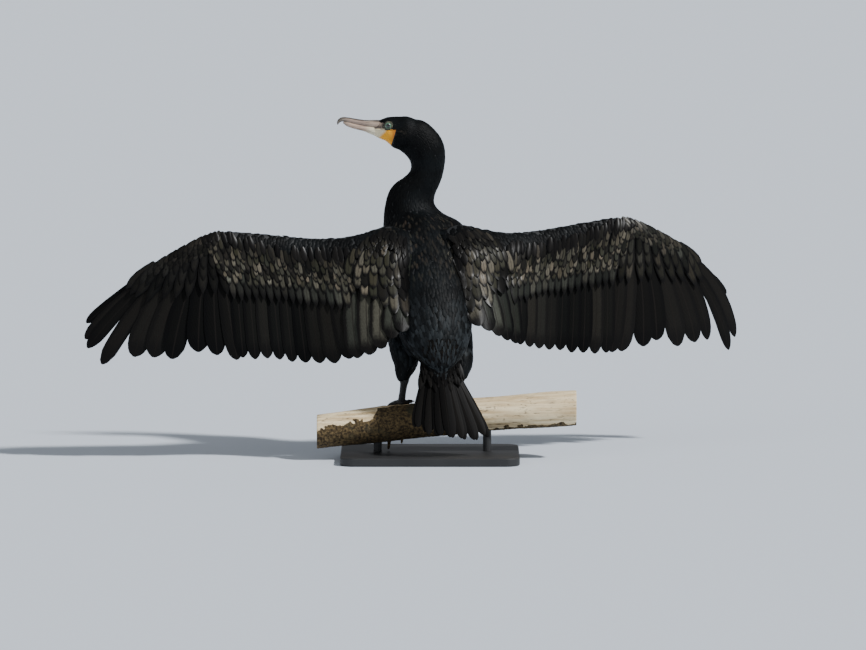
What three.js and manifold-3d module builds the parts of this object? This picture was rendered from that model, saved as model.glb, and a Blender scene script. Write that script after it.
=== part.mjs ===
// A great cormorant that dries its spread wings on a cut length of driftwood, held by a plain stand.
// Millimetres, +Z up. The origin is the middle of the base's underside. X runs along the branch and
// the wings, and +Y points away from someone who stands behind the bird. The bird itself is built in
// its own frame (x to its right, y forwards, z up), in a group that is turned about Z by bodyYaw.
import * as THREE from "three";
import { mergeVertices } from "three/addons/utils/BufferGeometryUtils.js";
import Module from "manifold-3d";

const wasm = await Module();
wasm.setup();

// Driving dimensions
const gap = 0.3; // between pieces that meet
const bodyYaw = THREE.MathUtils.degToRad(14); // the bird faces a little to its left
const headTurn = THREE.MathUtils.degToRad(76); // and looks further left

const base = { length: 300, depth: 240, height: 14, corner: 22, bevel: 2 };
const rod = { radius: 7, places: [-88, 96] };
const branch = {
  start: -190,
  end: 246,
  middle: 68.3,
  slope: 0.094,
  sag: 0.00007,
  radius: 30,
  bend: 5,
  bendLength: 130,
  knots: 1.1,
  knotLength: 31,
  swellLength: 83,
};

// Torso stations from the rump to the root of the neck: y, z, half width, half depth
const torsoStations = [
  [-82, 160, 12, 9],
  [-76, 169, 27, 18],
  [-62, 188, 46, 32],
  [-40, 216, 61, 46],
  [-10, 252, 69, 56],
  [24, 292, 71, 60],
  [56, 328, 69, 59],
  [84, 357, 62, 54],
  [104, 380, 51, 46],
  [116, 396, 38, 36],
];
// The neck's outline in the whole's frame, as seen from behind: left edge x, z, right edge x, z, then the
// depth of its middle and half its thickness that way
const neckStations = [
  [-72, 334, 60, 334, 98, 40],
  [-78, 366, 66, 368, 105, 46],
  [-79.5, 386, 52, 391, 111, 47],
  [-79.3, 404, 24, 405, 116, 45.5],
  [-76.4, 424, 8.5, 421, 120, 42],
  [-70.5, 443, 9, 438, 121, 39],
  [-60.3, 456.7, 16.9, 456, 119, 36.5],
  [-46.7, 465.8, 22.3, 472, 116, 33],
  [-36.5, 475.1, 25.3, 487.8, 112, 29],
  [-33, 484.7, 26.7, 503.4, 108, 27],
  [-34.8, 495.9, 25.3, 520.6, 105, 26],
  [-41.6, 505.4, 19.4, 536, 103, 25],
  [-50.9, 513.2, 7.5, 551.4, 102, 24],
  [-61.1, 520, -10.2, 565.1, 101, 23.5],
  [-70.4, 526.9, -32.3, 571, 100, 22],
];
const eyeMiddle = new THREE.Vector3(-44.8, 112.2, 557.4);
// Head stations: forward of the eye, middle height, half height, half width
const headStations = [
  [-44, -14, 22, 19],
  [-34, -13.5, 28, 23],
  [-20.6, -12.6, 29, 23],
  [-10.6, -9.6, 25, 21],
  [0, -7.3, 21, 18.4],
  [9.4, -6.8, 18, 15],
  [18.4, -6, 14.6, 11.4],
  [24, -5, 11, 9],
];
// Bill stations along the bent middle line: forward, height, half height, half width
const upperBill = [
  [10, 0, 8.4, 9],
  [24, 1.2, 7.3, 8.2],
  [40, 2.8, 5.7, 6.4],
  [56, 6, 4.7, 5.4],
  [68, 8.6, 4.2, 4.8],
  [76, 9.8, 3.9, 4.2],
  [81.5, 8.2, 3.3, 3.2],
  [84.6, 4.6, 2.2, 2],
  [85.4, 0.8, 0.7, 0.8],
];
const lowerBill = [
  [10, -10.6, 10, 9.6],
  [24, -8.6, 8.7, 8.4],
  [40, -5, 5.8, 6.2],
  [56, -1.6, 5.2, 5.1],
  [68, 2, 4.4, 4.3],
  [76, 4.8, 1.8, 2.8],
];
const billRoot = 19;
const eye = { ball: 7, skin: 18.4, sink: 4.4, lid: 5.8, rim: 1.2, lidSink: 0.9 };
const mouth = { back: -6, height: -6.4, drop: 0.16, thickness: 0.7, depth: 9, width: 60, roof: 4 };

// The wing, laid flat: p runs outwards from the bird's middle plane, q runs down from the shoulder's top
const wing = {
  top: 397,
  shoulder: [55, 25],
  forward: 56,
  cup: 0.0014,
  cupStart: 300,
  rootTilt: 38,
  tipTilt: 14,
  tiltFrom: 60,
  tiltTo: 240,
  camber: 0.0006,
};
// Each wing's lift about the shoulder, its primaries from the innermost out as tip p, tip q and outward
// bow, and the hem that the tips of the arm's feathers reach: p, q
const wingSides = [
  {
    name: "left",
    side: -1,
    lift: -1.3,
    primaries: [
      [329, 218, 6],
      [362, 209, 8],
      [393, 203, 10],
      [436, 214, 12],
      [465, 211, 14],
      [495, 210, 20],
      [544, 223, 18],
      [565, 196, 16],
      [568, 181, 12],
      [566, 154, 4],
    ],
    hem: [
      [60, 172],
      [91, 190],
      [106, 205],
      [135, 217],
      [181, 229],
      [235, 225],
      [293, 219],
      [345, 216],
    ],
  },
  {
    name: "right",
    side: 1,
    lift: 0.9,
    primaries: [
      [322, 230, 4],
      [339, 229, 8],
      [380, 223, 10],
      [406, 214, 12],
      [448, 227, 16],
      [483, 223, 24],
      [509, 221, 38],
      [556, 243, 42],
      [570, 222, 47],
      [554, 146, 4],
    ],
    hem: [
      [58, 166],
      [78, 175],
      [114, 194],
      [134, 202],
      [178, 216],
      [239, 227],
      [298, 233],
      [345, 231],
    ],
  },
];
// Along the span: p, leading edge q, trailing edge q of the fleshy part, half thickness
const armStations = [
  [30, 14, 84, 15],
  [64, 6, 92, 18],
  [100, 14, 94, 15],
  [155, 21, 92, 12],
  [200, 18.5, 86, 10.5],
  [250, 12.5, 68, 9.5],
  [300, 6, 56, 8.5],
  [335, 2.5, 52, 8],
  [362, 5, 54, 7],
  [400, 21, 64, 6],
  [435, 40, 80, 5],
  [462, 57, 87, 4],
  [478, 68, 92, 2.5],
];
// The arm's section, from the leading edge back: how full it is in front and how it thins, and its rise
const armSection = { shares: [0, 0.1, 0.3, 0.6, 1], fullness: 2.26, thinning: 0.7, rise: 1.4 };
// The feathers of a wing, in tiers that lie one over the other
const vaneHalf = 0.4;
const primary = {
  root: [348, 34],
  step: [11.6, 2.6],
  widths: [28, 31, 34, 35, 35, 34, 24, 22, 20, 16],
  roll: [0.12, 0.007],
  lastLift: -1.3,
};
const secondary = { count: 11, width: 26, roll: 0.12, beforeFirst: 18, to: 136 };
const scapular = { count: 7, width: 24, roll: 0.2, from: 138, to: 66, lean: [4, 34], lift: 2 };
const greaterCovert = {
  count: 12,
  width: 20,
  roll: 0.12,
  beforeFirst: 4,
  to: 166,
  lift: 3.7,
  tips: [116, 138],
};
const medianCovert = {
  count: 10,
  width: 24,
  roll: 0.12,
  beforeFirst: -8,
  to: 150,
  lift: 6.6,
  tips: [84, 114],
};
const primaryCovert = { root: [351, 33], share: 0.42, bow: 0.3, width: 17, roll: 0.14, lift: 4.2 };
const thumb = { root: [352, 14], tip: [414, 36], bow: 4, width: 15, roll: 0.1, lift: 1 };
const longShares = [0, 0.28, 0.55, 0.8, 0.94, 1];
const middleShares = [0, 0.38, 0.75, 0.94, 1];
const shortShares = [0, 0.6, 0.9, 1];
// A vane's width along its length
const vaneFullness = [
  [0, 0.42],
  [0.35, 0.84],
  [0.75, 1],
  [0.94, 0.82],
  [1, 0.34],
];

// Smooth interpolation through a table's rows, over its first column
function profile(rows, column) {
  const knots = new THREE.CubicInterpolant(
    rows.map((row) => row[0]),
    rows.map((row) => row[column]),
    1,
  );
  return (at) => knots.evaluate(at)[0];
}

// Closed geometry through rings of points, each end capped at its ring's middle
function skinRings(rings) {
  const count = rings[0].length;
  const points = rings.flat();
  const faces = [];
  for (let k = 0; k + 1 < rings.length; k++) {
    for (let j = 0; j < count; j++) {
      const a = k * count + j;
      const b = k * count + ((j + 1) % count);
      faces.push(a, b, b + count, a, b + count, a + count);
    }
  }
  for (const [ring, start, turned] of [
    [rings[0], 0, true],
    [rings[rings.length - 1], (rings.length - 1) * count, false],
  ]) {
    const middle = ring.reduce((sum, point) => sum.add(point), new THREE.Vector3());
    points.push(middle.divideScalar(count));
    for (let j = 0; j < count; j++) {
      const pair = [start + j, start + ((j + 1) % count)];
      if (turned) pair.reverse();
      faces.push(...pair, points.length - 1);
    }
  }
  return new THREE.BufferGeometry().setFromPoints(points).setIndex(faces);
}

// Closed thin geometry from rows of middle points with their normals, its two faces split alike
function plate(rows, halfThickness) {
  const across = rows[0].length;
  const points = [];
  for (const turn of [1, -1]) {
    for (const row of rows) {
      for (const { at, normal } of row) {
        points.push(at.clone().addScaledVector(normal, turn * halfThickness));
      }
    }
  }
  const under = rows.length * across;
  const faces = [];
  for (let k = 0; k + 1 < rows.length; k++) {
    for (let j = 0; j + 1 < across; j++) {
      const a = k * across + j;
      const [b, c, d] = [a + 1, a + across + 1, a + across];
      faces.push(a, b, c, a, c, d);
      faces.push(under + c, under + b, under + a, under + d, under + c, under + a);
    }
  }
  const rim = [];
  for (let j = 0; j < across; j++) rim.push(j);
  for (let k = 1; k < rows.length; k++) rim.push(k * across + across - 1);
  for (let j = across - 2; j >= 0; j--) rim.push((rows.length - 1) * across + j);
  for (let k = rows.length - 2; k > 0; k--) rim.push(k * across);
  rim.forEach((a, i) => {
    const b = rim[(i + 1) % rim.length];
    faces.push(b, a, under + a, b, under + a, under + b);
  });
  return new THREE.BufferGeometry().setFromPoints(points).setIndex(faces);
}

// A solid from a closed geometry, turned to face outwards
function solidOf(geometry) {
  const bare = new THREE.BufferGeometry().setAttribute("position", geometry.getAttribute("position"));
  if (geometry.index) bare.setIndex(geometry.index);
  const merged = mergeVertices(bare, 1e-3);
  const index = merged.index.array;
  const make = (turned) => {
    const faces = [];
    for (let i = 0; i < index.length; i += 3) {
      const [a, b, c] = [index[i], index[i + 1], index[i + 2]];
      if (a !== b && b !== c && c !== a) faces.push(...(turned ? [a, c, b] : [a, b, c]));
    }
    return new wasm.Manifold(
      new wasm.Mesh({
        numProp: 3,
        vertProperties: merged.attributes.position.array,
        triVerts: new Uint32Array(faces),
      }),
    );
  };
  const solid = make(false);
  return solid.volume() < 0 ? make(true) : solid;
}

const unite = (pieces) => wasm.Manifold.union(pieces);

// The geometry of a solid's largest closed surface
function geometryOf(solid) {
  const body = solid.decompose().sort((a, b) => b.volume() - a.volume())[0];
  const mesh = body.getMesh();
  return new THREE.BufferGeometry()
    .setAttribute("position", new THREE.BufferAttribute(new Float32Array(mesh.vertProperties), 3))
    .setIndex(new THREE.BufferAttribute(new Uint32Array(mesh.triVerts), 1));
}

// A big box whose near face passes through a point, at right angles to a direction
function halfSpace(point, direction, shift, size = 400) {
  const towards = direction.clone().normalize();
  const box = new THREE.BoxGeometry(size, size, size);
  box.applyQuaternion(new THREE.Quaternion().setFromUnitVectors(new THREE.Vector3(0, 0, 1), towards));
  const middle = point.clone().addScaledVector(towards, size / 2 + shift);
  return solidOf(box.translate(middle.x, middle.y, middle.z));
}

// An oval tube through stations of middle, half width and half height, with its side held level
function tube(stations, around, swell = 0) {
  const last = stations.length - 1;
  return skinRings(
    stations.map((station, k) => {
      const [before, after] = [stations[Math.max(k - 1, 0)], stations[Math.min(k + 1, last)]];
      const tangent = after.at.clone().sub(before.at).normalize();
      const side = station.side.clone().addScaledVector(tangent, -station.side.dot(tangent)).normalize();
      const up = side.clone().cross(tangent);
      return Array.from({ length: around }, (_, j) => {
        const turn = (2 * Math.PI * j) / around;
        return station.at
          .clone()
          .addScaledVector(side, (station.a + swell) * Math.cos(turn))
          .addScaledVector(up, (station.b + swell) * Math.sin(turn));
      });
    }),
  );
}

// Stations spread evenly in number between a table's rows
function finer(rows, steps) {
  const numbered = rows.map((row, i) => [i, ...row]);
  const columns = rows[0].map((_, c) => profile(numbered, c + 1));
  const last = rows.length - 1;
  return Array.from({ length: steps + 1 }, (_, i) => columns.map((column) => column((last * i) / steps)));
}

const right = new THREE.Vector3(1, 0, 0);

// Stations on the bird's middle plane from a table's rows of y, z, half width and half depth
function midStations(rows, steps) {
  return finer(rows, steps).map(([y, z, a, b]) => ({ at: new THREE.Vector3(0, y, z), side: right, a, b }));
}
const torso = (swell) => solidOf(tube(midStations(torsoStations, 14), 20, swell));

const toBird = new THREE.Matrix4().makeRotationZ(-bodyYaw);
const inBird = (x, y, z) => new THREE.Vector3(x, y, z).applyMatrix4(toBird);

function neck(swell) {
  const around = 18;
  const rings = finer(neckStations, 22).map(([leftX, leftZ, rightX, rightZ, y, half]) => {
    const [from, to] = [new THREE.Vector3(leftX, y, leftZ), new THREE.Vector3(rightX, y, rightZ)];
    const middle = from.clone().add(to).divideScalar(2);
    const across = to.clone().sub(middle);
    across.setLength(across.length() + swell);
    return Array.from({ length: around }, (_, j) => {
      const turn = (2 * Math.PI * j) / around;
      const at = middle.clone().addScaledVector(across, Math.cos(turn));
      at.y += (half + swell) * Math.sin(turn);
      return at;
    });
  });
  return solidOf(skinRings(rings).applyMatrix4(toBird));
}

// The head's own frame: x to its right, forward along the bill, up
const headFrame = new THREE.Matrix4()
  .makeRotationZ(headTurn)
  .setPosition(eyeMiddle.x, eyeMiddle.y, eyeMiddle.z);
const headRight = right.clone().transformDirection(headFrame);
const headForward = new THREE.Vector3(0, 1, 0).transformDirection(headFrame);
const inHead = (x, forward, up) => new THREE.Vector3(x, forward, up).applyMatrix4(headFrame);

function headTube(rows, steps, around, swell) {
  const stations = finer(rows, steps).map(([forward, up, b, a]) => ({
    at: inHead(0, forward, up),
    side: headRight,
    a,
    b,
  }));
  return solidOf(tube(stations, around, swell));
}

// An eye's place, sunk in the side of the head
function eyeBall(side, radius) {
  const ball = new THREE.SphereGeometry(radius, 14, 8);
  const place = inHead(side * (eye.skin - eye.sink), 0, 0);
  return solidOf(ball.translate(place.x, place.y, place.z));
}

function lid(side) {
  const ring = new THREE.TorusGeometry(eye.lid, eye.rim, 5, 15).rotateY(Math.PI / 2);
  ring.applyMatrix4(new THREE.Matrix4().makeRotationZ(headTurn));
  const place = inHead(side * (eye.skin - eye.lidSink), 0, 0);
  return solidOf(ring.translate(place.x, place.y, place.z));
}

// The slit of the mouth behind the bill, as far as under the eye
function gape() {
  const length = billRoot - mouth.back;
  const middle = mouth.back + length / 2;
  const slit = new THREE.BoxGeometry(mouth.width, length, mouth.thickness);
  slit.rotateX(mouth.drop).translate(0, middle, mouth.height);
  const core = new THREE.BoxGeometry(2 * mouth.depth, 2 * length, mouth.roof);
  core.rotateX(mouth.drop).translate(0, middle, mouth.height);
  return solidOf(slit.applyMatrix4(headFrame)).subtract(solidOf(core.applyMatrix4(headFrame)));
}

// The wing's surface: from flat places p, q and a height h over it, on the back's side, to the bird's frame
function wingSurface({ side, lift }) {
  const turn = THREE.MathUtils.degToRad(lift);
  const [cos, sin] = [Math.cos(turn), Math.sin(turn)];
  const sheet = (p, q) => {
    const [dp, dq] = [p - wing.shoulder[0], q - wing.shoulder[1]];
    const out = wing.shoulder[0] + dp * cos + dq * sin;
    const down = wing.shoulder[1] + dq * cos - dp * sin;
    const share = THREE.MathUtils.smoothstep(out, wing.tiltFrom, wing.tiltTo);
    const tilt = THREE.MathUtils.degToRad(THREE.MathUtils.lerp(wing.rootTilt, wing.tipTilt, share));
    const cup = wing.cup * Math.max(0, out - wing.cupStart) ** 2;
    const y = wing.forward + cup - down * Math.tan(tilt) + wing.camber * down * Math.abs(down);
    return new THREE.Vector3(side * out, y, wing.top - down);
  };
  const normal = (p, q) => {
    const alongP = sheet(p + 1, q).sub(sheet(p - 1, q));
    const alongQ = sheet(p, q + 1).sub(sheet(p, q - 1));
    return alongP.cross(alongQ).normalize().multiplyScalar(-side);
  };
  const place = (p, q, h) => sheet(p, q).addScaledVector(normal(p, q), h);
  return { place, normal };
}

// The fleshy arm and hand, drop-shaped in section, thick in front and thin behind
function arm(surface) {
  const { shares, fullness, thinning, rise } = armSection;
  const fill = (u) => fullness * Math.sqrt(u) * (1 - u) ** thinning;
  const stations = finer(armStations, 15);
  return solidOf(
    skinRings(
      stations.map(([p, lead, trail, half]) => {
        const at = (u, turn) => {
          const h = turn * (half * fill(u) + rise * u);
          return surface.place(p, THREE.MathUtils.lerp(lead, trail, u), h);
        };
        return [...shares.map((u) => at(u, 1)), ...shares.slice(1).reverse().map((u) => at(u, -1))];
      }),
    ),
  );
}

// A feather as a thin closed vane about its middle line, laid out flat and placed on a curved surface. Its
// outer edge lies higher than its inner edge, so that neighbours overlap like slats.
function vane(place, { line, width, roll = 0, lift = 0, half = vaneHalf, shares = middleShares }) {
  const fullness = profile(vaneFullness, 1);
  const rows = shares.map((t) => {
    const [middle, along] = [line.getPoint(t), line.getTangent(t)];
    const reach = (width / 2) * fullness(t);
    return [-1, 1].map((edge) => {
      const [p, q] = [middle.x + along.y * reach * edge, middle.y - along.x * reach * edge];
      const h = lift + roll * reach * edge;
      const at = place(p, q, h);
      return { at, normal: place(p, q, h + 1).sub(at).normalize() };
    });
  });
  return solidOf(plate(rows, half));
}

// A feather's middle line, bowed outwards between its root and its tip
function bowed(from, to, bow) {
  const [start, end] = [new THREE.Vector2(...from), new THREE.Vector2(...to)];
  const way = end.clone().sub(start).normalize();
  const bend = start.clone().add(end).divideScalar(2);
  bend.addScaledVector(new THREE.Vector2(way.y, -way.x), bow);
  return new THREE.QuadraticBezierCurve(start, bend, end);
}

// Where the roots of the arm's feathers lie, along the upper arm and then the forearm to the wrist
const rootLine = profile(
  [
    [40, 62],
    [110, 68],
    [190, 68],
    [250, 50],
    [342, 32],
  ],
  1,
);

function wingFeathers({ primaries, hem }, surface) {
  const { place } = surface;
  const hemAt = profile(hem, 1);
  const firstTip = primaries[0][0];
  const spread = ({ count, beforeFirst, from = firstTip - beforeFirst, to }, each) =>
    Array.from({ length: count }, (_, i) => {
      const t = i / (count - 1);
      return each(THREE.MathUtils.lerp(from, to, t), t);
    });
  const handRoot = (start, i) => start.map((value, c) => value + primary.step[c] * i);
  const hand = primaries.map(([p, q, bow], i) => {
    const line = bowed(handRoot(primary.root, i), [p, q], bow);
    const lift = i === primaries.length - 1 ? primary.lastLift : 0;
    const roll = primary.roll[0] + primary.roll[1] * i;
    return { line, width: primary.widths[i], roll, lift, shares: longShares };
  });
  const handCoverts = primaries.slice(0, -1).map(([p, q, bow], i) => {
    const root = handRoot(primaryCovert.root, i);
    const tip = [0, 1].map((c) => THREE.MathUtils.lerp(root[c], [p, q][c], primaryCovert.share));
    return { ...primaryCovert, line: bowed(root, tip, bow * primaryCovert.bow), shares: shortShares };
  });
  const armFeathers = spread(secondary, (p, t) => {
    const root = [THREE.MathUtils.lerp(p + 8, p + 14, t), 0];
    root[1] = rootLine(root[0]);
    return { line: bowed(root, [p, hemAt(p)], 3), width: secondary.width, roll: secondary.roll };
  });
  const shoulder = spread(scapular, (p, t) => {
    const rootP = p - THREE.MathUtils.lerp(...scapular.lean, t);
    const root = [rootP, rootLine(rootP) - 6 * t];
    const { width, roll, lift } = scapular;
    return { line: bowed(root, [p, hemAt(p)], 8), width, roll, lift: lift + 3 * t };
  });
  const greater = spread(greaterCovert, (p, t) => {
    const tip = [p, THREE.MathUtils.lerp(...greaterCovert.tips, t)];
    return { ...greaterCovert, line: bowed([p + 6, rootLine(p + 6)], tip, 1), shares: shortShares };
  });
  const median = spread(medianCovert, (p, t) => {
    const tip = [p, THREE.MathUtils.lerp(...medianCovert.tips, t)];
    return { ...medianCovert, line: bowed([p + 6, rootLine(p + 6) - 8], tip, 1), shares: shortShares };
  });
  const alula = { ...thumb, line: bowed(thumb.root, thumb.tip, thumb.bow), shares: shortShares };
  const all = [...hand, ...handCoverts, ...armFeathers, ...shoulder, ...greater, ...median, alula];
  return all.map((feather) => vane(place, feather));
}

// The tail's surface, a shallow fan below the rump
const tail = {
  root: [-70, 178],
  slope: 70,
  length: 142,
  halfSpread: 20.2,
  turn: 3.2,
  rootRise: 4,
  opening: 1.3,
  rounding: 0.055,
  lean: 0.095,
};
const rectrix = { pairs: 7, width: 21, rootHalf: 14, step: 0.95, half: 0.3, lift: 1 };
const tailCovert = { pairs: 3, width: 19, length: 66, lift: 2.2 };
function tailSurface(p, q, h) {
  const slope = THREE.MathUtils.degToRad(tail.slope);
  const down = new THREE.Vector3(0, -Math.cos(slope), -Math.sin(slope));
  const back = new THREE.Vector3(0, -Math.sin(slope), Math.cos(slope));
  return new THREE.Vector3(p, tail.root[0], tail.root[1])
    .addScaledVector(down, q)
    .addScaledVector(back, h);
}
// Stiff tail feathers in a fan, the middle pair on top, under a row of coverts
function tailFeathers() {
  const { half, step } = rectrix;
  const pieces = [];
  for (let level = 0; level < 2 * rectrix.pairs; level++) {
    const k = Math.floor(level / 2);
    const share = ((level % 2 ? 1 : -1) * (k + 0.5)) / (rectrix.pairs - 0.5);
    const angle = THREE.MathUtils.degToRad(tail.turn + share * tail.halfSpread);
    const root = [share * rectrix.rootHalf, -tail.rootRise];
    const line = (reach) => {
      const tip = [root[0] * tail.opening + Math.sin(angle) * reach, Math.cos(angle) * reach];
      return bowed(root, tip, 0);
    };
    const length = tail.length * (1 - tail.rounding * share * share + tail.lean * share);
    const feather = { line: line(length), width: rectrix.width, lift: rectrix.lift - step * level };
    pieces.push(vane(tailSurface, { ...feather, half, shares: [0, 0.5, 0.92, 1] }));
    if (k < tailCovert.pairs) {
      const lift = tailCovert.lift + step * (2 * tailCovert.pairs - 1 - level);
      const covert = { line: line(tailCovert.length), width: tailCovert.width, lift };
      pieces.push(vane(tailSurface, { ...covert, half, shares: shortShares }));
    }
  }
  return pieces;
}

// The fleshy root of the tail: y, z, half width, half depth
const rumpStations = [
  [-52, 190, 27, 16],
  [-68, 166, 25, 13],
  [-76, 146, 20, 9],
  [-80, 130, 14, 5],
];
const rump = () => solidOf(tube(midStations(rumpStations, 5), 12));

// Legs: hip to ankle in feathers, then the bare shank down to the foot. A shank's stations are its share of
// the way, half width and half depth
const shankStations = [
  [-0.04, 7.6, 8.2],
  [0.1, 7.8, 8.6],
  [0.28, 6.2, 7.6],
  [0.6, 5.6, 7],
  [0.86, 6, 7],
  [1.04, 6.2, 6.4],
];
const legs = [
  { name: "left", side: -1, foot: [-46.7, 10.9, 98.6], ankle: [-50.5, -27, 141] },
  { name: "right", side: 1, foot: [39.8, -9.9, 107], ankle: [43, -42, 143] },
];
function thigh(leg, swell) {
  const [x, y, z] = leg.ankle;
  const rows = [
    [leg.side * 42, 14, 244, 22, 24],
    [leg.side * 45, 4, 216, 27, 31],
    [leg.side * 46, -8, 190, 26, 29],
    [leg.side * 47, (y - 8) / 2 - 2, 166, 21, 22],
    [x + leg.side * 1.5, y + 3, z + 6, 14, 14.5],
    [x, y, z - 4, 9.4, 10],
  ];
  const stations = finer(rows, 8).map(([px, py, pz, a, b]) => ({
    at: new THREE.Vector3(px, py, pz),
    side: right,
    a,
    b,
  }));
  return solidOf(tube(stations, 14, swell));
}
function shank(leg, swell) {
  const [from, to] = [new THREE.Vector3(...leg.ankle), new THREE.Vector3(...leg.foot)];
  const stations = shankStations.map(([t, a, b]) => ({ at: from.clone().lerp(to, t), side: right, a, b }));
  return solidOf(tube(stations, 10, swell));
}

// The branch in the whole's frame, with its middle line and its radius
const branchLift = (x) => branch.middle + branch.slope * x - branch.sag * x * x;
const branchBack = (x) => branch.bend * Math.sin(x / branch.bendLength);
const knobs = (x) => Math.sin(x / branch.knotLength + 1) * Math.sin(x / branch.swellLength);
const branchRadius = (x) => branch.radius + branch.knots * knobs(x);
function branchPoint(x, around, h) {
  const turn = around / branch.radius;
  const reach = branchRadius(x) + h;
  const y = branchBack(x) + reach * Math.sin(turn);
  return new THREE.Vector3(x, y, branchLift(x) + reach * Math.cos(turn));
}
function perch(swell) {
  const steps = 14;
  const round = 16;
  return skinRings(
    Array.from({ length: steps + 1 }, (_, i) => {
      const x = THREE.MathUtils.lerp(branch.start - swell, branch.end + swell, i / steps);
      return Array.from({ length: round }, (_, j) =>
        branchPoint(x, (2 * Math.PI * branch.radius * j) / round, swell),
      );
    }),
  );
}

// Stubs of broken twigs on the branch: x, turn about its middle line from the top, length, radius
const stubs = [
  { x: -68, turn: 2.9, length: 15, radius: 4 },
  { x: -46, turn: 3.3, length: 6, radius: 3 },
  { x: 126, turn: 2.7, length: 5, radius: 4.5 },
];
function stub({ x, turn, length, radius }) {
  const foot = branchPoint(x, turn * branch.radius, -6);
  const tip = branchPoint(x - 2, turn * branch.radius, length);
  const bar = new THREE.CylinderGeometry(radius * 0.4, radius, tip.distanceTo(foot), 6);
  const way = tip.clone().sub(foot).normalize();
  bar.applyQuaternion(new THREE.Quaternion().setFromUnitVectors(new THREE.Vector3(0, 1, 0), way));
  const middle = foot.add(tip).divideScalar(2);
  return solidOf(bar.translate(middle.x, middle.y, middle.z));
}

// Toes of a webbed foot wrapped over the branch: turn from forwards to the outside, length, radius
const toes = [
  { turn: 34, length: 66, radius: 3.9 },
  { turn: 6, length: 60, radius: 4 },
  { turn: -22, length: 43, radius: 3.7 },
  { turn: -78, length: 25, radius: 3.2 },
];
// Along a toe and its claw: share of the length, then size and height as shares of the radius
const toeStations = [
  [-0.06, 0.9, 1],
  [0.2, 1, 1],
  [0.5, 0.92, 1],
  [0.84, 0.92, 1],
  [1, 0.62, 1.1],
  [1.12, 0.42, 0.85],
  [1.2, 0.1, 0.6],
];
const web = { rows: [0.06, 0.4, 0.72, 1], reach: 0.94, hollow: 0.2, height: 2.4, half: 0.6 };
const palm = { radius: 7.5, scale: [1, 1.15, 0.72], drop: 1 };
function foot(leg) {
  const heel = new THREE.Vector3(...leg.foot).applyMatrix4(toBird.clone().invert());
  const spot = (turn, reach, h) => {
    const angle = THREE.MathUtils.degToRad(turn) * leg.side;
    const x = heel.x + Math.sin(angle) * reach - Math.sin(bodyYaw) * Math.max(reach, 0);
    return branchPoint(x, Math.cos(angle) * reach, h).applyMatrix4(toBird);
  };
  const pieces = toes.map(({ turn, length, radius }) => {
    const stations = toeStations.map(([t, size, height]) => ({
      at: spot(turn, t * length, radius * height + 0.5),
      side: right,
      a: radius * size,
      b: radius * size,
    }));
    return solidOf(tube(stations, 6));
  });
  toes.slice(1).forEach((inner, i) => {
    const outer = toes[i];
    const rows = web.rows.map((t) =>
      [0, 0.5, 1].map((v) => {
        const turn = THREE.MathUtils.lerp(outer.turn, inner.turn, v);
        const reach = THREE.MathUtils.lerp(outer.length, inner.length, v) * web.reach * t;
        const edge = 1 - web.hollow * Math.sin(Math.PI * v) * t;
        const at = spot(turn, reach * edge, web.height);
        const normal = spot(turn, reach * edge, web.height + 1).sub(at);
        return { at, normal };
      }),
    );
    pieces.push(solidOf(plate(rows, web.half)));
  });
  const [x, y, z] = leg.foot;
  const ball = new THREE.SphereGeometry(palm.radius, 8, 6).scale(...palm.scale);
  pieces.push(solidOf(ball.translate(x, y, z - palm.drop)));
  return unite(pieces);
}

// The stand: a flat base with rounded corners and two rods
function standBase() {
  const [x, y, r] = [base.length / 2 - base.bevel, base.depth / 2 - base.bevel, base.corner];
  const outline = new THREE.Shape();
  outline.moveTo(-x + r, -y);
  outline.lineTo(x - r, -y).absarc(x - r, -y + r, r, -Math.PI / 2, 0);
  outline.lineTo(x, y - r).absarc(x - r, y - r, r, 0, Math.PI / 2);
  outline.lineTo(-x + r, y).absarc(-x + r, y - r, r, Math.PI / 2, Math.PI);
  outline.lineTo(-x, -y + r).absarc(-x + r, -y + r, r, Math.PI, 1.5 * Math.PI);
  const solid = new THREE.ExtrudeGeometry(outline, {
    depth: base.height - 2 * base.bevel,
    bevelThickness: base.bevel,
    bevelSize: base.bevel,
    bevelSegments: 1,
    curveSegments: 5,
  });
  return solidOf(solid.translate(0, 0, base.bevel));
}
function standRod(x) {
  const top = branchLift(x);
  const length = top - base.height - gap;
  const bar = new THREE.CylinderGeometry(rod.radius, rod.radius, length, 16);
  bar.rotateX(Math.PI / 2).translate(x, branchBack(x), base.height + gap + length / 2);
  return solidOf(bar).subtract(solidOf(perch(gap)));
}

const colours = {
  plumage: ["#15181a", 0.42],
  flight: ["#1b1b1a", 0.38],
  billUpper: ["#8f8076", 0.45],
  billLower: ["#d9c9b4", 0.45],
  iris: ["#5f8f7d", 0.12],
  skin: ["#141415", 0.5],
  bark: ["#8a7558", 0.9],
  stand: ["#2a2a2c", 0.55],
};
function node(name, solid, colour) {
  const [hex, roughness] = colours[colour];
  const material = new THREE.MeshStandardMaterial({ color: hex, roughness, metalness: 0 });
  const mesh = new THREE.Mesh(geometryOf(solid), material);
  mesh.name = name;
  return mesh;
}

const bird = new THREE.Group();
bird.rotation.z = bodyYaw;

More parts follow.
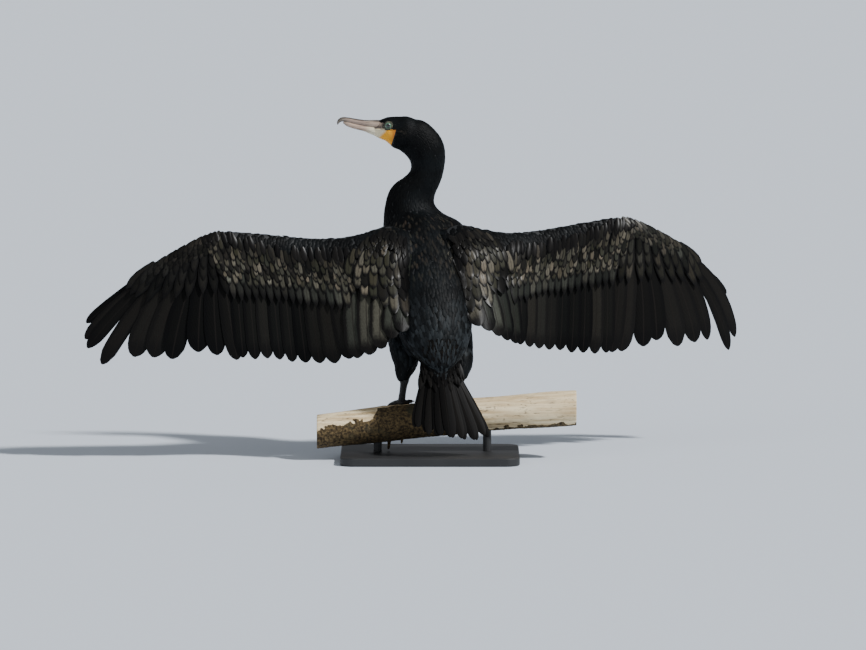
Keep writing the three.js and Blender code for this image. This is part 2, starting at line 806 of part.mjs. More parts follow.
// Head, neck and torso are modelled whole and parted with thin cuts
const skull = headTube(headStations, 11, 18, 0);
const flesh = unite([torso(0), neck(0), skull, lid(-1), lid(1)])
  .subtract(eyeBall(-1, eye.ball + gap))
  .subtract(eyeBall(1, eye.ball + gap));
const cuts = {
  head: [new THREE.Vector3(-18, 107, 547), headForward.clone().add(new THREE.Vector3(0, 0, 0.15)), 160],
  upperNeck: [inBird(-8, 114, 474), inBird(-0.3, 0, 1), 400],
  lowerNeck: [inBird(-25, 112, 398), inBird(0, 0.3, 1), 400],
};
const side = (cut, shift) => halfSpace(cuts[cut][0], cuts[cut][1], shift, cuts[cut][2]);
const headPiece = flesh.intersect(side("head", gap / 2));
const belowHead = flesh.subtract(side("head", -gap / 2));
const upperNeck = belowHead.intersect(side("upperNeck", gap / 2));
const belowUpper = belowHead.subtract(side("upperNeck", -gap / 2));
const lowerNeck = belowUpper.intersect(side("lowerNeck", gap / 2));
const trunk = belowUpper.subtract(side("lowerNeck", -gap / 2));

const billPlane = inHead(0, billRoot, 0);
const face = headPiece.subtract(halfSpace(billPlane, headForward, -gap / 2, 160)).subtract(gape());
const beyondFace = halfSpace(billPlane, headForward, gap / 2, 160);
const billAbove = headTube(upperBill, 12, 10, 0).intersect(beyondFace);
const upperRoom = headTube(upperBill, 12, 10, gap);
const billBelow = headTube(lowerBill, 8, 10, 0).subtract(upperRoom).intersect(beyondFace);
bird.add(node("head", face, "plumage"));
bird.add(node("bill_upper", billAbove, "billUpper"));
bird.add(node("bill_lower", billBelow, "billLower"));
bird.add(node("eye_left", eyeBall(-1, eye.ball), "iris"));
bird.add(node("eye_right", eyeBall(1, eye.ball), "iris"));
bird.add(node("neck_upper", upperNeck, "plumage"));
bird.add(node("neck_lower", lowerNeck, "plumage"));
bird.add(node("torso", trunk, "plumage"));

const trunkRoom = unite([torso(gap), neck(gap)]);
const branchRoom = solidOf(perch(gap).applyMatrix4(toBird));
for (const wingSide of wingSides) {
  const surface = wingSurface(wingSide);
  const whole = unite([arm(surface), ...wingFeathers(wingSide, surface)]).subtract(trunkRoom);
  bird.add(node("wing_" + wingSide.name, whole, "flight"));
}
for (const leg of legs) {
  const thighPiece = thigh(leg, 0).subtract(trunkRoom);
  const shankPiece = shank(leg, 0).subtract(thigh(leg, gap)).subtract(branchRoom);
  const footPiece = foot(leg).subtract(shank(leg, gap)).subtract(branchRoom);
  bird.add(node("thigh_" + leg.name, thighPiece, "plumage"));
  bird.add(node("shank_" + leg.name, shankPiece, "skin"));
  bird.add(node("foot_" + leg.name, footPiece, "skin"));
}
const thighRoom = unite(legs.map((leg) => thigh(leg, gap)));
const tailPiece = unite([rump(), ...tailFeathers()]).subtract(trunkRoom).subtract(thighRoom);
bird.add(node("tail", tailPiece, "flight"));

const cormorant = new THREE.Group();
cormorant.add(bird);
cormorant.add(node("perch", unite([solidOf(perch(0)), ...stubs.map(stub)]), "bark"));
cormorant.add(node("stand_base", standBase(), "stand"));
rod.places.forEach((x, i) => cormorant.add(node("stand_rod_" + (i + 1), standRod(x), "stand")));

export default cormorant;
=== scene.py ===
# The looks of a great cormorant that dries its spread wings on a cut length of driftwood.
# Shapes are worked out in millimetres in the bird's own frame (x to its right, y forwards, z up),
# or in the whole's frame for the branch, and become metres as each mesh is made.
import math

import bmesh
import bpy
import numpy as np
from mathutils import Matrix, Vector, noise
from mathutils.bvhtree import BVHTree


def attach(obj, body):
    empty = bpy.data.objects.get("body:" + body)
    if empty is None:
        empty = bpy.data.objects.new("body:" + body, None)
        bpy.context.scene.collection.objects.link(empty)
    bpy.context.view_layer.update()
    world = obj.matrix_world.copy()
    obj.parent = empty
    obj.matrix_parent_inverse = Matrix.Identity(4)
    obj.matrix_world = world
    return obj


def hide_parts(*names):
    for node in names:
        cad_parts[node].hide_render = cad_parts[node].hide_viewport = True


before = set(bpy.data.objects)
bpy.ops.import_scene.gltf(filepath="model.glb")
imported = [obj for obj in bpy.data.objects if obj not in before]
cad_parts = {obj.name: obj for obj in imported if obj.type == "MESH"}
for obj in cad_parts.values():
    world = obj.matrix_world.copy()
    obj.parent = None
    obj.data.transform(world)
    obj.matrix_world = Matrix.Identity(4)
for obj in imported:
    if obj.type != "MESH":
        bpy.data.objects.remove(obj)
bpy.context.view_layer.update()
mm = 0.001
yaw = math.radians(14)
draws = np.random.default_rng(23)


# Small sums on arrays
def lerp(a, b, t):
    return a + (b - a) * t


def smoothStep(x, low, high):
    t = np.clip((x - low) / (high - low), 0, 1)
    return t * t * (3 - 2 * t)


def hill(x, middle, width):
    return np.exp(-(((x - middle) / width) ** 2))


def unit(v):
    return v / np.maximum(np.linalg.norm(v, axis=-1, keepdims=True), 1e-9)


def dot(a, b):
    return (a * b).sum(-1)


def stacked(*columns):  # columns of points, spread to one shape
    return np.stack(np.broadcast_arrays(*columns), -1)


def circle(number):
    return np.arange(number) * 2 * math.pi / number


def highest(a, b, blend):  # the greater of two heights, rounded where they cross
    return (a + b + np.sqrt((a - b) ** 2 + blend * blend)) / 2


def through(rows, column):  # a smooth curve over a table's first column, level past its ends
    xs = np.array([row[0] for row in rows], float)
    ys = np.array([row[column] for row in rows], float)

    def at(x):
        x = np.clip(np.asarray(x, float), xs[0], xs[-1])
        i = np.clip(np.searchsorted(xs, x, side="right"), 1, len(xs) - 1)
        low, high = np.maximum(i - 2, 0), np.minimum(i + 1, len(xs) - 1)
        t0, t1, y0, y1 = xs[i - 1], xs[i], ys[i - 1], ys[i]
        before, yBefore = np.where(i >= 2, xs[low], t1), np.where(i >= 2, ys[low], y1)
        inside = i + 1 < len(xs)
        after, yAfter = np.where(inside, xs[high], t0), np.where(inside, ys[high], y0)
        wp, wn = (t1 - t0) / 2 / (t0 - before), (t1 - t0) / 2 / (after - t1)
        p = (x - t0) / (t1 - t0)
        sp = wp * (-(p**3) + 2 * p * p - p)
        s0 = (1 + wp) * p**3 + (-1.5 - 2 * wp) * p * p + (-0.5 + wp) * p + 1
        s1 = (-1 - wn) * p**3 + (1.5 + wn) * p * p + 0.5 * p
        sn = wn * (p**3 - p * p)
        return sp * yBefore + s0 * y0 + s1 * y1 + sn * yAfter

    return at


def finer(rows, steps):  # the rows of a table, spread evenly in number, as one array
    numbered = [(i, *row) for i, row in enumerate(rows)]
    at = np.linspace(0, len(rows) - 1, steps + 1)
    return np.stack([through(numbered, c + 1)(at) for c in range(len(rows[0]))], -1)


def turned(points, angle):  # about the upright axis
    c, s = math.cos(angle), math.sin(angle)
    x, y, z = np.moveaxis(np.asarray(points, float), -1, 0)
    return stacked(c * x - s * y, s * x + c * y, z)


# Meshes
def meshFrom(name, points, quads, whole=False):
    mesh = bpy.data.meshes.new(name)
    at = points if whole else turned(points, yaw)
    mesh.vertices.add(len(at))
    setPoints(mesh, at * mm)
    mesh.loops.add(quads.size)
    mesh.loops.foreach_set("vertex_index", quads.astype(np.int32).ravel())
    mesh.polygons.add(len(quads))
    starts = np.arange(0, quads.size, quads.shape[1], dtype=np.int32)
    mesh.polygons.foreach_set("loop_start", starts)
    mesh.update(calc_edges=True)
    mesh.shade_smooth()
    return mesh


def setValues(mesh, name, values):  # one number or three for each vertex
    kind, field = ("FLOAT", "value") if values.ndim == 1 else ("FLOAT_VECTOR", "vector")
    made = mesh.attributes.new(name, kind, "POINT")
    made.data.foreach_set(field, values.astype(np.float32).ravel())


def setPoints(mesh, points):
    mesh.vertices.foreach_set("co", points.astype(np.float32).ravel())


def numbersOf(group, field, each=1, kind=np.int32):
    values = np.zeros(len(group) * each, kind)
    group.foreach_get(field, values)
    return values if each == 1 else values.reshape(-1, each)


def setUv(mesh, name, places):  # places for each vertex, or for each corner
    corners = numbersOf(mesh.loops, "vertex_index")
    spots = places[corners] if len(places) == len(mesh.vertices) else places
    layer = mesh.uv_layers.new(name=name)
    layer.uv.foreach_set("vector", np.asarray(spots, np.float32).ravel())


def added(name, data):  # a new object in the scene
    made = bpy.data.objects.new(name, data)
    bpy.context.scene.collection.objects.link(made)
    return made


def pieceOf(mesh, paint, slot, *nodes):
    piece = added(mesh.name, mesh)
    mesh.materials.append(paint)
    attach(piece, "root")
    if nodes:
        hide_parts(*nodes)
    return piece


def ringFaces(count, around):  # quads between rings, numbered ring by ring
    k, j = np.meshgrid(np.arange(count - 1), np.arange(around), indexing="ij")
    a, b = k * around + j, k * around + (j + 1) % around
    return stacked(a, b, b + around, a + around).reshape(-1, 4)


def closedTube(rings):  # points and quads of a tube with both ends drawn in to a small ring
    count, around = rings.shape[:2]
    points, quads = rings.reshape(-1, 3), ringFaces(count, around)
    extra = []
    for ring, start, flip in ((rings[0], 0, True), (rings[-1], (count - 1) * around, False)):
        middle = ring.mean(0)
        j = np.arange(around)
        inner = len(points) + sum(len(e) for e in extra)
        extra.append(middle + (ring - middle) * 0.02)
        a, b = start + j, start + (j + 1) % around
        c, d = inner + (j + 1) % around, inner + j
        quads = np.concatenate([quads, np.stack([a, d, c, b] if flip else [a, b, c, d], -1)])
        half = around // 2
        for i in range(half - 1):  # the small ring's own face, as a strip of quads
            strip = [inner + i, inner + i + 1, inner + around - i - 2, inner + (around - i - 1) % around]
            quads = np.concatenate([quads, [strip[::-1] if flip else strip]])
    return np.concatenate([points, *extra]), quads


def tubeRings(at, side, a, b, around):  # oval rings square to a line, with their side held level
    tangent = unit(np.gradient(at, axis=0))
    across = unit(side - dot(np.broadcast_to(side, at.shape), tangent)[:, None] * tangent)
    up = np.cross(across, tangent)
    turn = circle(around)
    wide = across[:, None] * (a[:, None, None] * np.cos(turn)[None, :, None])
    high = up[:, None] * (b[:, None, None] * np.sin(turn)[None, :, None])
    return at[:, None] + wide + high


def joined(parts):  # several closed shapes as one list of points and quads
    points, quads, start = [], [], 0
    for shape, faces in parts:
        points.append(shape)
        quads.append(faces + start)
        start += len(shape)
    return np.concatenate(points), np.concatenate(quads)


# Shader expressions: an operator on a socket adds its node
class Wire:
    def __init__(self, paint, socket):
        self.paint, self.socket = paint, socket

    def math(self, kind, *others):
        settings = {"operation": kind}
        inputs = {i: value for i, value in enumerate((self, *others))}
        return self.paint.node("ShaderNodeMath", settings, inputs)

    def reflected(self, kind, other):
        return self.paint.node("ShaderNodeMath", {"operation": kind}, {0: other, 1: self})

    def __add__(self, other):
        return self.math("ADD", other)

    def __radd__(self, other):
        return self.reflected("ADD", other)

    def __sub__(self, other):
        return self.math("SUBTRACT", other)

    def __rsub__(self, other):
        return self.reflected("SUBTRACT", other)

    def __mul__(self, other):
        return self.math("MULTIPLY", other)

    def __rmul__(self, other):
        return self.reflected("MULTIPLY", other)

    def __pow__(self, other):
        return self.math("POWER", other)

    def __abs__(self):
        return self.math("ABSOLUTE")

    def ramp(self, low, high):  # 0 below low, 1 above high, smooth between
        settings = {"interpolation_type": "SMOOTHSTEP"}
        inputs = {0: self, 1: low, 2: high, 3: 0.0, 4: 1.0}
        return self.paint.node("ShaderNodeMapRange", settings, inputs)


class Paint:
    def __init__(self, name, **fixed):
        self.material = bpy.data.materials.new(name)
        self.material.use_nodes = True
        self.tree = self.material.node_tree
        self.shader = self.tree.nodes["Principled BSDF"]
        for socket, value in fixed.items():
            self.shader.inputs[socket.replace("_", " ")].default_value = value

    def node(self, kind, settings=None, inputs=None, output=0):
        made = self.tree.nodes.new(kind)
        for key, value in (settings or {}).items():
            setattr(made, key, value)
        for key, value in (inputs or {}).items():
            self.plug(made.inputs[key], value)
        return Wire(self, made.outputs[output])

    def plug(self, socket, value):
        if isinstance(value, Wire):
            self.tree.links.new(value.socket, socket)
        else:
            socket.default_value = value

    def feed(self, **values):
        for name, value in values.items():
            self.plug(self.shader.inputs[name.replace("_", " ")], value)
        return self.material

    def mix(self, share, a, b):
        a, b = [(*c, 1) if isinstance(c, tuple) else c for c in (a, b)]
        return self.node("ShaderNodeMix", {"data_type": "RGBA"}, {0: share, 6: a, 7: b}, 2)

    def value(self, name, part=None):  # a stored value of the mesh, or one part of a stored vector
        kind, settings = "ShaderNodeAttribute", {"attribute_name": name}
        if part is None:
            return self.node(kind, settings, output="Fac")
        vector = self.node(kind, settings, output="Vector")
        return self.node("ShaderNodeSeparateXYZ", {}, {0: vector}, part)

    def place(self):
        return self.node("ShaderNodeTexCoord", output="Object")

    def stretched(self, scale):
        inputs = {0: self.place(), 1: scale}
        return self.node("ShaderNodeVectorMath", {"operation": "MULTIPLY"}, inputs)

    def noise(self, scale, detail=3.0, vector=None, roughness=0.55):
        inputs = {"Vector": vector or self.place(), "Scale": scale}
        inputs.update({"Detail": detail, "Roughness": roughness})
        return self.node("ShaderNodeTexNoise", {}, inputs)

    def cells(self, scale, settings=None):
        return self.node("ShaderNodeTexVoronoi", settings, {"Vector": self.place(), "Scale": scale})

    def bump(self, height, strength, distance):
        inputs = {"Height": height, "Strength": strength, "Distance": distance}
        return self.node("ShaderNodeBump", {}, inputs)


# The body's flesh, in the sizes of the solids but for its fuller breast
body = {
    "coat": 2.0,  # depth of the small feathers over the skin
    "voxel": 3.0,
    "torso": [
        (-82, 160, 12, 9), (-76, 169, 27, 18), (-62, 188, 46, 32), (-40, 216, 61, 46),
        (-10, 252, 69, 56), (24, 292, 71, 60), (56, 328, 69, 59), (84, 357, 62, 54),
        (104, 380, 51, 46), (116, 396, 38, 36),
    ],  # y, z, half width, half depth
    "neck": [
        (-72, 334, 60, 334, 98, 40), (-78, 366, 66, 368, 105, 46),
        (-79.5, 386, 52, 391, 111, 47), (-79.3, 404, 24, 405, 116, 45.5),
        (-76.4, 424, 8.5, 421, 120, 42), (-70.5, 443, 9, 438, 121, 39),
        (-60.3, 456.7, 16.9, 456, 119, 36.5), (-46.7, 465.8, 22.3, 472, 116, 33),
        (-36.5, 475.1, 25.3, 487.8, 112, 29), (-33, 484.7, 26.7, 503.4, 108, 27),
        (-34.8, 495.9, 25.3, 520.6, 105, 26), (-41.6, 505.4, 19.4, 536, 103, 25),
        (-50.9, 513.2, 7.5, 551.4, 102, 24), (-61.1, 520, -10.2, 565.1, 101, 23.5),
        (-69.5, 527.5, -34, 569, 100, 21),
    ],  # in the whole's frame: left edge x, z, right edge x, z, middle y, half depth
    "breast": [
        (-58, 276, 26, 276, 62, 16), (-66, 300, 40, 300, 79, 27), (-71, 318, 52, 318, 90, 34),
    ],  # the neck's rows go on below it, inside the torso
    "rump": [(-52, 190, 27, 16), (-68, 166, 25, 13), (-76, 146, 20, 9), (-80, 130, 14, 5)],
    "evening": 9,  # rounds that soften the joints between the parts
}
head = {
    "eyeMiddle": (-44.8, 112.2, 557.4),
    "turn": math.radians(76),
    "stations": [
        (-44, -12.2, 25.2, 19), (-34, -13.3, 28, 23), (-20.6, -12.7, 28.7, 23),
        (-10.6, -9.5, 25.3, 21), (0, -7.1, 21.6, 18.4), (9.4, -6.8, 18, 15),
        (18.4, -6, 14.6, 11.4), (24, -5, 11, 9),
    ],  # forward, middle height, half height, half width
    "coat": 1.0,
}
legs = [
    {"name": "left", "side": -1, "foot": (-46.7, 10.9, 98.6), "ankle": (-50.5, -27, 141)},
    {"name": "right", "side": 1, "foot": (39.8, -9.9, 107), "ankle": (43, -42, 143)},
]
rightWay, forwardWay = np.array((1.0, 0, 0)), np.array((0.0, 1, 0))
headRight = np.array((math.cos(head["turn"]), math.sin(head["turn"]), 0))
headForward = np.array((-math.sin(head["turn"]), math.cos(head["turn"]), 0))
headAxes = np.stack([headRight, headForward, (0, 0, 1)])


def inHead(points):  # right, forward, up from between the eyes, to the bird's frame
    return np.asarray(points, float) @ headAxes + head["eyeMiddle"]


def toHead(points):
    return (np.asarray(points, float) - head["eyeMiddle"]) @ headAxes.T


def torsoRings(swell, rows, steps=40, around=48):
    y, z, a, b = finer(rows, steps).T
    return tubeRings(stacked(0 * y, y, z), rightWay, a + swell, b + swell, around)


def neckLine(steps, rows):  # middle, half width across and half depth of the neck, upwards
    leftX, leftZ, rightX, rightZ, y, half = finer(rows, steps).T
    left, right = stacked(leftX, y, leftZ), stacked(rightX, y, rightZ)
    return turned((left + right) / 2, -yaw), turned((right - left) / 2, -yaw), half


def neckRings(swell, steps=66, around=48):
    middle, across, half = neckLine(steps, body["breast"] + body["neck"])
    across = across + unit(across) * swell
    back = turned(forwardWay, -yaw)
    turn = circle(around)
    wide = across[:, None] * np.cos(turn)[None, :, None]
    deep = back * ((half + swell)[:, None, None] * np.sin(turn)[None, :, None])
    return middle[:, None] + wide + deep


def headRings(rows, swell, steps=30, around=40):
    forward, up, high, wide = finer(rows, steps).T
    line = inHead(stacked(0 * forward, forward, up))
    return tubeRings(line, headRight, wide + swell, high + swell, around)


def thighRings(leg, swell):
    x, y, z = leg["ankle"]
    side = leg["side"]  # rows: x, y, z, half width, half depth
    rows = [
        (side * 42, 14, 244, 22, 24),
        (side * 45, 4, 216, 27, 31),
        (side * 46, -8, 190, 26, 29),
        (side * 47, (y - 8) / 2 - 2, 166, 21, 22),
        (x + side * 1.5, y + 3, z + 6, 14, 14.5),
        (x, y, z - 4, 9.4, 10),
    ]
    px, py, pz, a, b = finer(rows, 24).T
    return tubeRings(stacked(px, py, pz), rightWay, a + swell, b + swell, 32)


# The wing's surface. Laid flat, p runs outwards from the bird's middle plane and q down from the
# shoulder
wing = {
    "top": 397,
    "shoulder": (55, 25),
    "forward": 56,
    "cup": (0.0014, 300),
    "tilt": (38, 14, 60, 240),  # at the root and the tip, in degrees, and where it changes
    "camber": 0.0006,
    "arm": [
        (30, 14, 84, 15), (64, 6, 92, 18), (100, 14, 94, 15), (155, 21, 92, 12),
        (200, 18.5, 86, 10.5), (250, 12.5, 68, 9.5), (300, 6, 56, 8.5), (335, 2.5, 52, 8),
        (362, 5, 54, 7), (400, 21, 64, 6), (435, 40, 80, 5), (462, 57, 87, 4),
        (478, 68, 92, 2.5),
    ],  # p, leading edge q, trailing edge q, half thickness of the flesh
    "section": (2.26, 0.7, 1.4),  # how full the flesh is, how it thins, and its trailing edge
    "rootLine": [(40, 62), (110, 68), (190, 68), (250, 50), (342, 32)],
}
wingSides = [
    {
        "name": "left",
        "side": -1,
        # painted light: the shaded left wing gets no lighter, glinting coverts
        "paintedLight": 0.0,
        "lift": -1.3,
        "primaries": [
            (329, 218, 6), (362, 209, 8), (393, 203, 10), (436, 214, 12), (465, 211, 14),
            (495, 210, 20), (544, 223, 18), (565, 196, 16), (568, 181, 12), (566, 154, 4),
        ],
        "hem": [
            (60, 172), (91, 190), (106, 205), (135, 217),
            (181, 229), (235, 225), (293, 219), (345, 216),
        ],
    },
    {
        "name": "right",
        "side": 1,
        # painted light: the right wing, on the key light's side, has its coverts painted lighter, with
        # painted glints
        "paintedLight": 0.25,
        "lift": 0.9,
        "primaries": [
            (322, 230, 4), (339, 229, 8), (380, 223, 10), (406, 214, 12), (448, 227, 16),
            (483, 223, 24), (509, 221, 38), (556, 243, 42), (570, 222, 47), (554, 146, 4),
        ],
        "hem": [
            (58, 166), (78, 175), (114, 194), (134, 202),
            (178, 216), (239, 227), (298, 233), (345, 231),
        ],
    },
]  # tips of the primaries from the innermost out: p, q, outward bow. Hem: where the other tips reach
armAt = [through(wing["arm"], column) for column in (1, 2, 3)]
rootLine = through(wing["rootLine"], 1)


def armHeight(p, q):  # half thickness of the flesh at a place
    lead, trail, half = [at(p) for at in armAt]
    u = np.clip((q - lead) / (trail - lead), 0, 1)
    full, thinning, edge = wing["section"]
    return half * full * np.sqrt(u) * (1 - u) ** thinning + edge * u


def wingPlace(wingSide):
    side, lift = wingSide["side"], math.radians(wingSide["lift"])
    shoulderP, shoulderQ = wing["shoulder"]
    rootTilt, tipTilt, tiltFrom, tiltTo = wing["tilt"]

    def sheet(p, q):
        dp, dq = p - shoulderP, q - shoulderQ
        out = shoulderP + dp * math.cos(lift) + dq * math.sin(lift)
        down = shoulderQ + dq * math.cos(lift) - dp * math.sin(lift)
        tilt = np.radians(lerp(rootTilt, tipTilt, smoothStep(out, tiltFrom, tiltTo)))
        cup = wing["cup"][0] * np.maximum(0, out - wing["cup"][1]) ** 2
        y = wing["forward"] + cup - down * np.tan(tilt) + wing["camber"] * down * abs(down)
        return stacked(side * out, y, wing["top"] - down)

    def place(p, q, h):
        alongP = sheet(p + 1, q) - sheet(p - 1, q)
        alongQ = sheet(p, q + 1) - sheet(p, q - 1)
        return sheet(p, q) + unit(np.cross(alongP, alongQ)) * (-side * np.asarray(h))[..., None]

    return place


def armRings(wingSide, coat):
    place = wingPlace(wingSide)
    shares = np.array([0, 0.02, 0.06, 0.12, 0.2, 0.3, 0.42, 0.55, 0.7, 0.85, 1])
    p, lead, trail, _ = finer(wing["arm"], 60).T
    q = lerp(lead[:, None], trail[:, None], np.concatenate([shares, shares[-2:0:-1]])[None])
    p = np.broadcast_to(p[:, None], q.shape)
    turn = np.concatenate([np.ones(len(shares)), -np.ones(len(shares) - 2)])
    h = np.maximum(armHeight(p, q) - coat, 0.25) * turn
    h[:, 0] = 0
    return place(p, q + np.where(q == lead[:, None], coat, 0), h)


def trianglesOf(mesh):
    mesh.calc_loop_triangles()
    return numbersOf(mesh.loop_triangles, "vertices", 3)


def pointsOf(mesh):
    return numbersOf(mesh.vertices, "co", 3, np.float32).astype(float)


def relaxed(points, edges, rounds, keep=0.53):  # evens out ridges without drawing the form in
    count = np.zeros(len(points))
    np.add.at(count, edges.ravel(), 1)
    for step in range(2 * rounds):
        total = np.zeros_like(points)
        np.add.at(total, edges[:, 0], points[edges[:, 1]])
        np.add.at(total, edges[:, 1], points[edges[:, 0]])
        away = total / count[:, None] - points
        points = points + away * (0.5 if step % 2 == 0 else -keep)
    return points


# Face: where the bare skin, its colours and its folds lie, as right, forward, up
face = {
    "mouth": ((-6, -8.4), (19, -4.4)),  # forward and up at the corner of the mouth and at the bill
    "groove": (1.1, 0.9),  # depth, half width
    "lips": 0.45,
    "socket": (1.3, 0.5),  # its depth, and the height of its rim
    "brow": 0.9,
    "lore": 0.9,
    "wrinkles": 0.22,
    "pouch": 0.6,
    "finer": (-16, -13),  # where each finer step of the skin begins
    "room": (30, -34, 26),  # half width, lowest and highest of the finer skin
}


def mouthOff(forward, up):  # how far a place is from the line of the mouth
    (f0, u0), (f1, u1) = face["mouth"]
    t = np.clip((forward - f0) / (f1 - f0), 0, 1)
    return np.hypot(forward - lerp(f0, f1, t), up - lerp(u0, u1, t))


def bareSkin(at):  # 1 on the bare face, 0 under feathers
    forward, up = at[..., 1], at[..., 2]
    ring = 1 - smoothStep(np.hypot(forward, up * 1.05), 6.6, 8.2)
    lores = smoothStep(forward, 2, 5) * (1 - smoothStep(up, 3.5, 6.5)) * smoothStep(up, -14, -9)
    edge = -9.5 - 0.32 * (up + 20)  # the pouch's hind edge slants back and down
    pouch = smoothStep(forward, edge - 1, edge + 1.5) * (1 - smoothStep(up, -8, -5))
    return np.clip(np.maximum(np.maximum(ring, lores), pouch), 0, 1)


def faceRelief(at):  # how far the face stands out from its plain form
    x, forward, up = np.moveaxis(at, -1, 0)
    depth, width = face["groove"]
    onSide = smoothStep(abs(x), 3, 7)
    off, byMouth = mouthOff(forward, up), (forward < 20) * onSide
    groove = -depth * hill(off, 0, width) * byMouth
    lips = face["lips"] * hill(off, 1.9, 0.8) * byMouth
    fromEye, (sunk, rim) = np.hypot(forward, up), face["socket"]
    socket = -sunk * hill(fromEye, 0, 5) + rim * hill(fromEye, 8.6, 1.5)
    brow = face["brow"] * hill(up, 8.2, 2.4) * hill(forward, 2, 8)
    lore = smoothStep(forward, 7, 12) * (1 - smoothStep(forward, 19, 24))
    lore = -face["lore"] * hill(up, -1, 3.4) * lore
    pouch = smoothStep(forward, -9, -2) * (1 - smoothStep(up, -13, -9))
    wrinkles = face["wrinkles"] * pouch * np.sin(up * 3.1 + 0.5 * np.sin(forward * 0.5))
    return groove + lips + socket * onSide + (brow + lore) * onSide + wrinkles + face["pouch"] * pouch


def buildSkin():
    coat = -body["coat"]
    parts = [
        torsoRings(coat, body["torso"]),
        torsoRings(coat, body["rump"], 16, 28),
        neckRings(coat),
        headRings(head["stations"], -head["coat"]),
    ]
    parts += [thighRings(leg, coat) for leg in legs]
    parts += [armRings(wingSide, body["coat"]) for wingSide in wingSides]
    points, quads = joined([closedTube(rings) for rings in parts])
    rough = added("rough", meshFrom("rough", points, quads))
    remesh = rough.modifiers.new("join", "REMESH")
    remesh.mode = "VOXEL"
    remesh.voxel_size = body["voxel"] * mm
    joinedUp = rough.evaluated_get(bpy.context.evaluated_depsgraph_get())
    mesh = bpy.data.meshes.new_from_object(joinedUp)
    bpy.data.objects.remove(rough)
    mesh.name = "skin"
    form = bmesh.new()
    form.from_mesh(mesh)
    wide, bottom, top = face["room"]
    for reach in face["finer"]:
        x, forward, up = toHead(turned(np.array([v.co for v in form.verts]) / mm, -yaw)).T
        near = (forward > reach) & (abs(x) < wide) & (up > bottom) & (up < top)
        edges = [e for e in form.edges if near[e.verts[0].index] and near[e.verts[1].index]]
        bmesh.ops.subdivide_edges(form, edges=edges, cuts=1, use_grid_fill=True)
        form.verts.index_update()
    bmesh.ops.triangulate(form, faces=[f for f in form.faces if len(f.verts) > 4])
    form.to_mesh(mesh)
    form.free()
    edges = numbersOf(mesh.edges, "vertices", 2)
    at = relaxed(pointsOf(mesh), edges, body["evening"])
    setPoints(mesh, at)
    mesh.update()
    normals = np.array([v.normal for v in mesh.vertices])
    flat = toHead(turned(at / mm, -yaw))
    _, forward, up = flat.T
    inFace = smoothStep(forward, -15, -11) * (up < 30) * (up > -36)
    at = at + normals * (faceRelief(flat) * inFace * mm)[:, None]
    setPoints(mesh, at)
    mesh.shade_smooth()
    mesh.update()
    setValues(mesh, "bare", bareSkin(flat) * inFace)
    setValues(mesh, "face", flat)
    return mesh


# The lie of the small feathers: guides with a middle, a way and a radius, each part on its own
def guideLines():
    tables = {}
    fore = np.linspace(22, -24, 8)
    line = inHead(stacked(0 * fore, fore, -6 - 0 * fore))
    way = np.tile(-headForward + np.array((0, 0, -0.25)), (len(line), 1))
    crown = (line, way, np.full(len(line), 24.0))
    middle, _, half = neckLine(24, body["neck"])
    neck = (middle[::-1][3:], unit(np.gradient(middle[::-1], axis=0))[3:], half[::-1][3:])
    y, z, a, _ = finer(body["torso"], 14)[::-1].T
    spine = stacked(0 * y, y, z)
    torso = (spine, unit(np.gradient(spine, axis=0)), a)
    tables["body"] = [np.concatenate(columns) for columns in zip(crown, neck, torso)]
    for leg in legs:
        middle = thighRings(leg, 0).mean(1)
        way, radius = unit(np.gradient(middle, axis=0)), np.full(len(middle), 20.0)
        tables["thigh_" + leg["name"]] = (middle, way, radius)
    for wingSide in wingSides:
        place = wingPlace(wingSide)
        p, lead, trail, _ = finer(wing["arm"], 30)[5:].T
        q = (lead + trail) / 2
        middle = place(p, q, 0 * p)
        way = unit(place(p, q + 4, 0 * p) - middle) + 0.3 * unit(place(p + 4, q, 0 * p) - middle)
        tables["arm_" + wingSide["name"]] = (middle, unit(way), (trail - lead) / 2)
    return tables


def lieAt(points):  # for each point: the way of its feathers, its part, and how far along that it is
    names, share, along = [], [], []
    total = np.zeros_like(points)
    for name, (middle, way, radius) in guideLines().items():
        away = np.linalg.norm(points[:, None] - middle[None], axis=-1) / radius[None]
        weight = 1 / np.maximum(away, 0.05) ** 6
        total += weight @ way
        nearest = away.argmin(1)
        names.append(name)
        share.append(-away.min(1))
        along.append(nearest / (len(middle) - 1))
    best = np.argmax(np.stack(share), 0)
    return unit(total), np.array(names)[best], np.stack(along)[best, np.arange(len(points))]


print("frame loaded, sizes read")
skinMesh = buildSkin()
skinPoints = turned(pointsOf(skinMesh) / mm, -yaw)
skinFaces = trianglesOf(skinMesh)
skinTree = BVHTree.FromPolygons([Vector(p) for p in skinPoints], skinFaces.tolist())
print("skin:", len(skinFaces), "triangles")


# The unwrap: the body's tube, both thighs and both arms side by side
layout = {
    "body": (0.01, 0.5, 0.03, 0.94),  # left, width, foot, height
    "thigh": (0.53, 0.1, 0.02, 0.45),
    "thighStep": 0.48,
    "arm": (0.75, 0.18, 0.004, 0.075),  # left, step between the arms, gap, width of each face
}


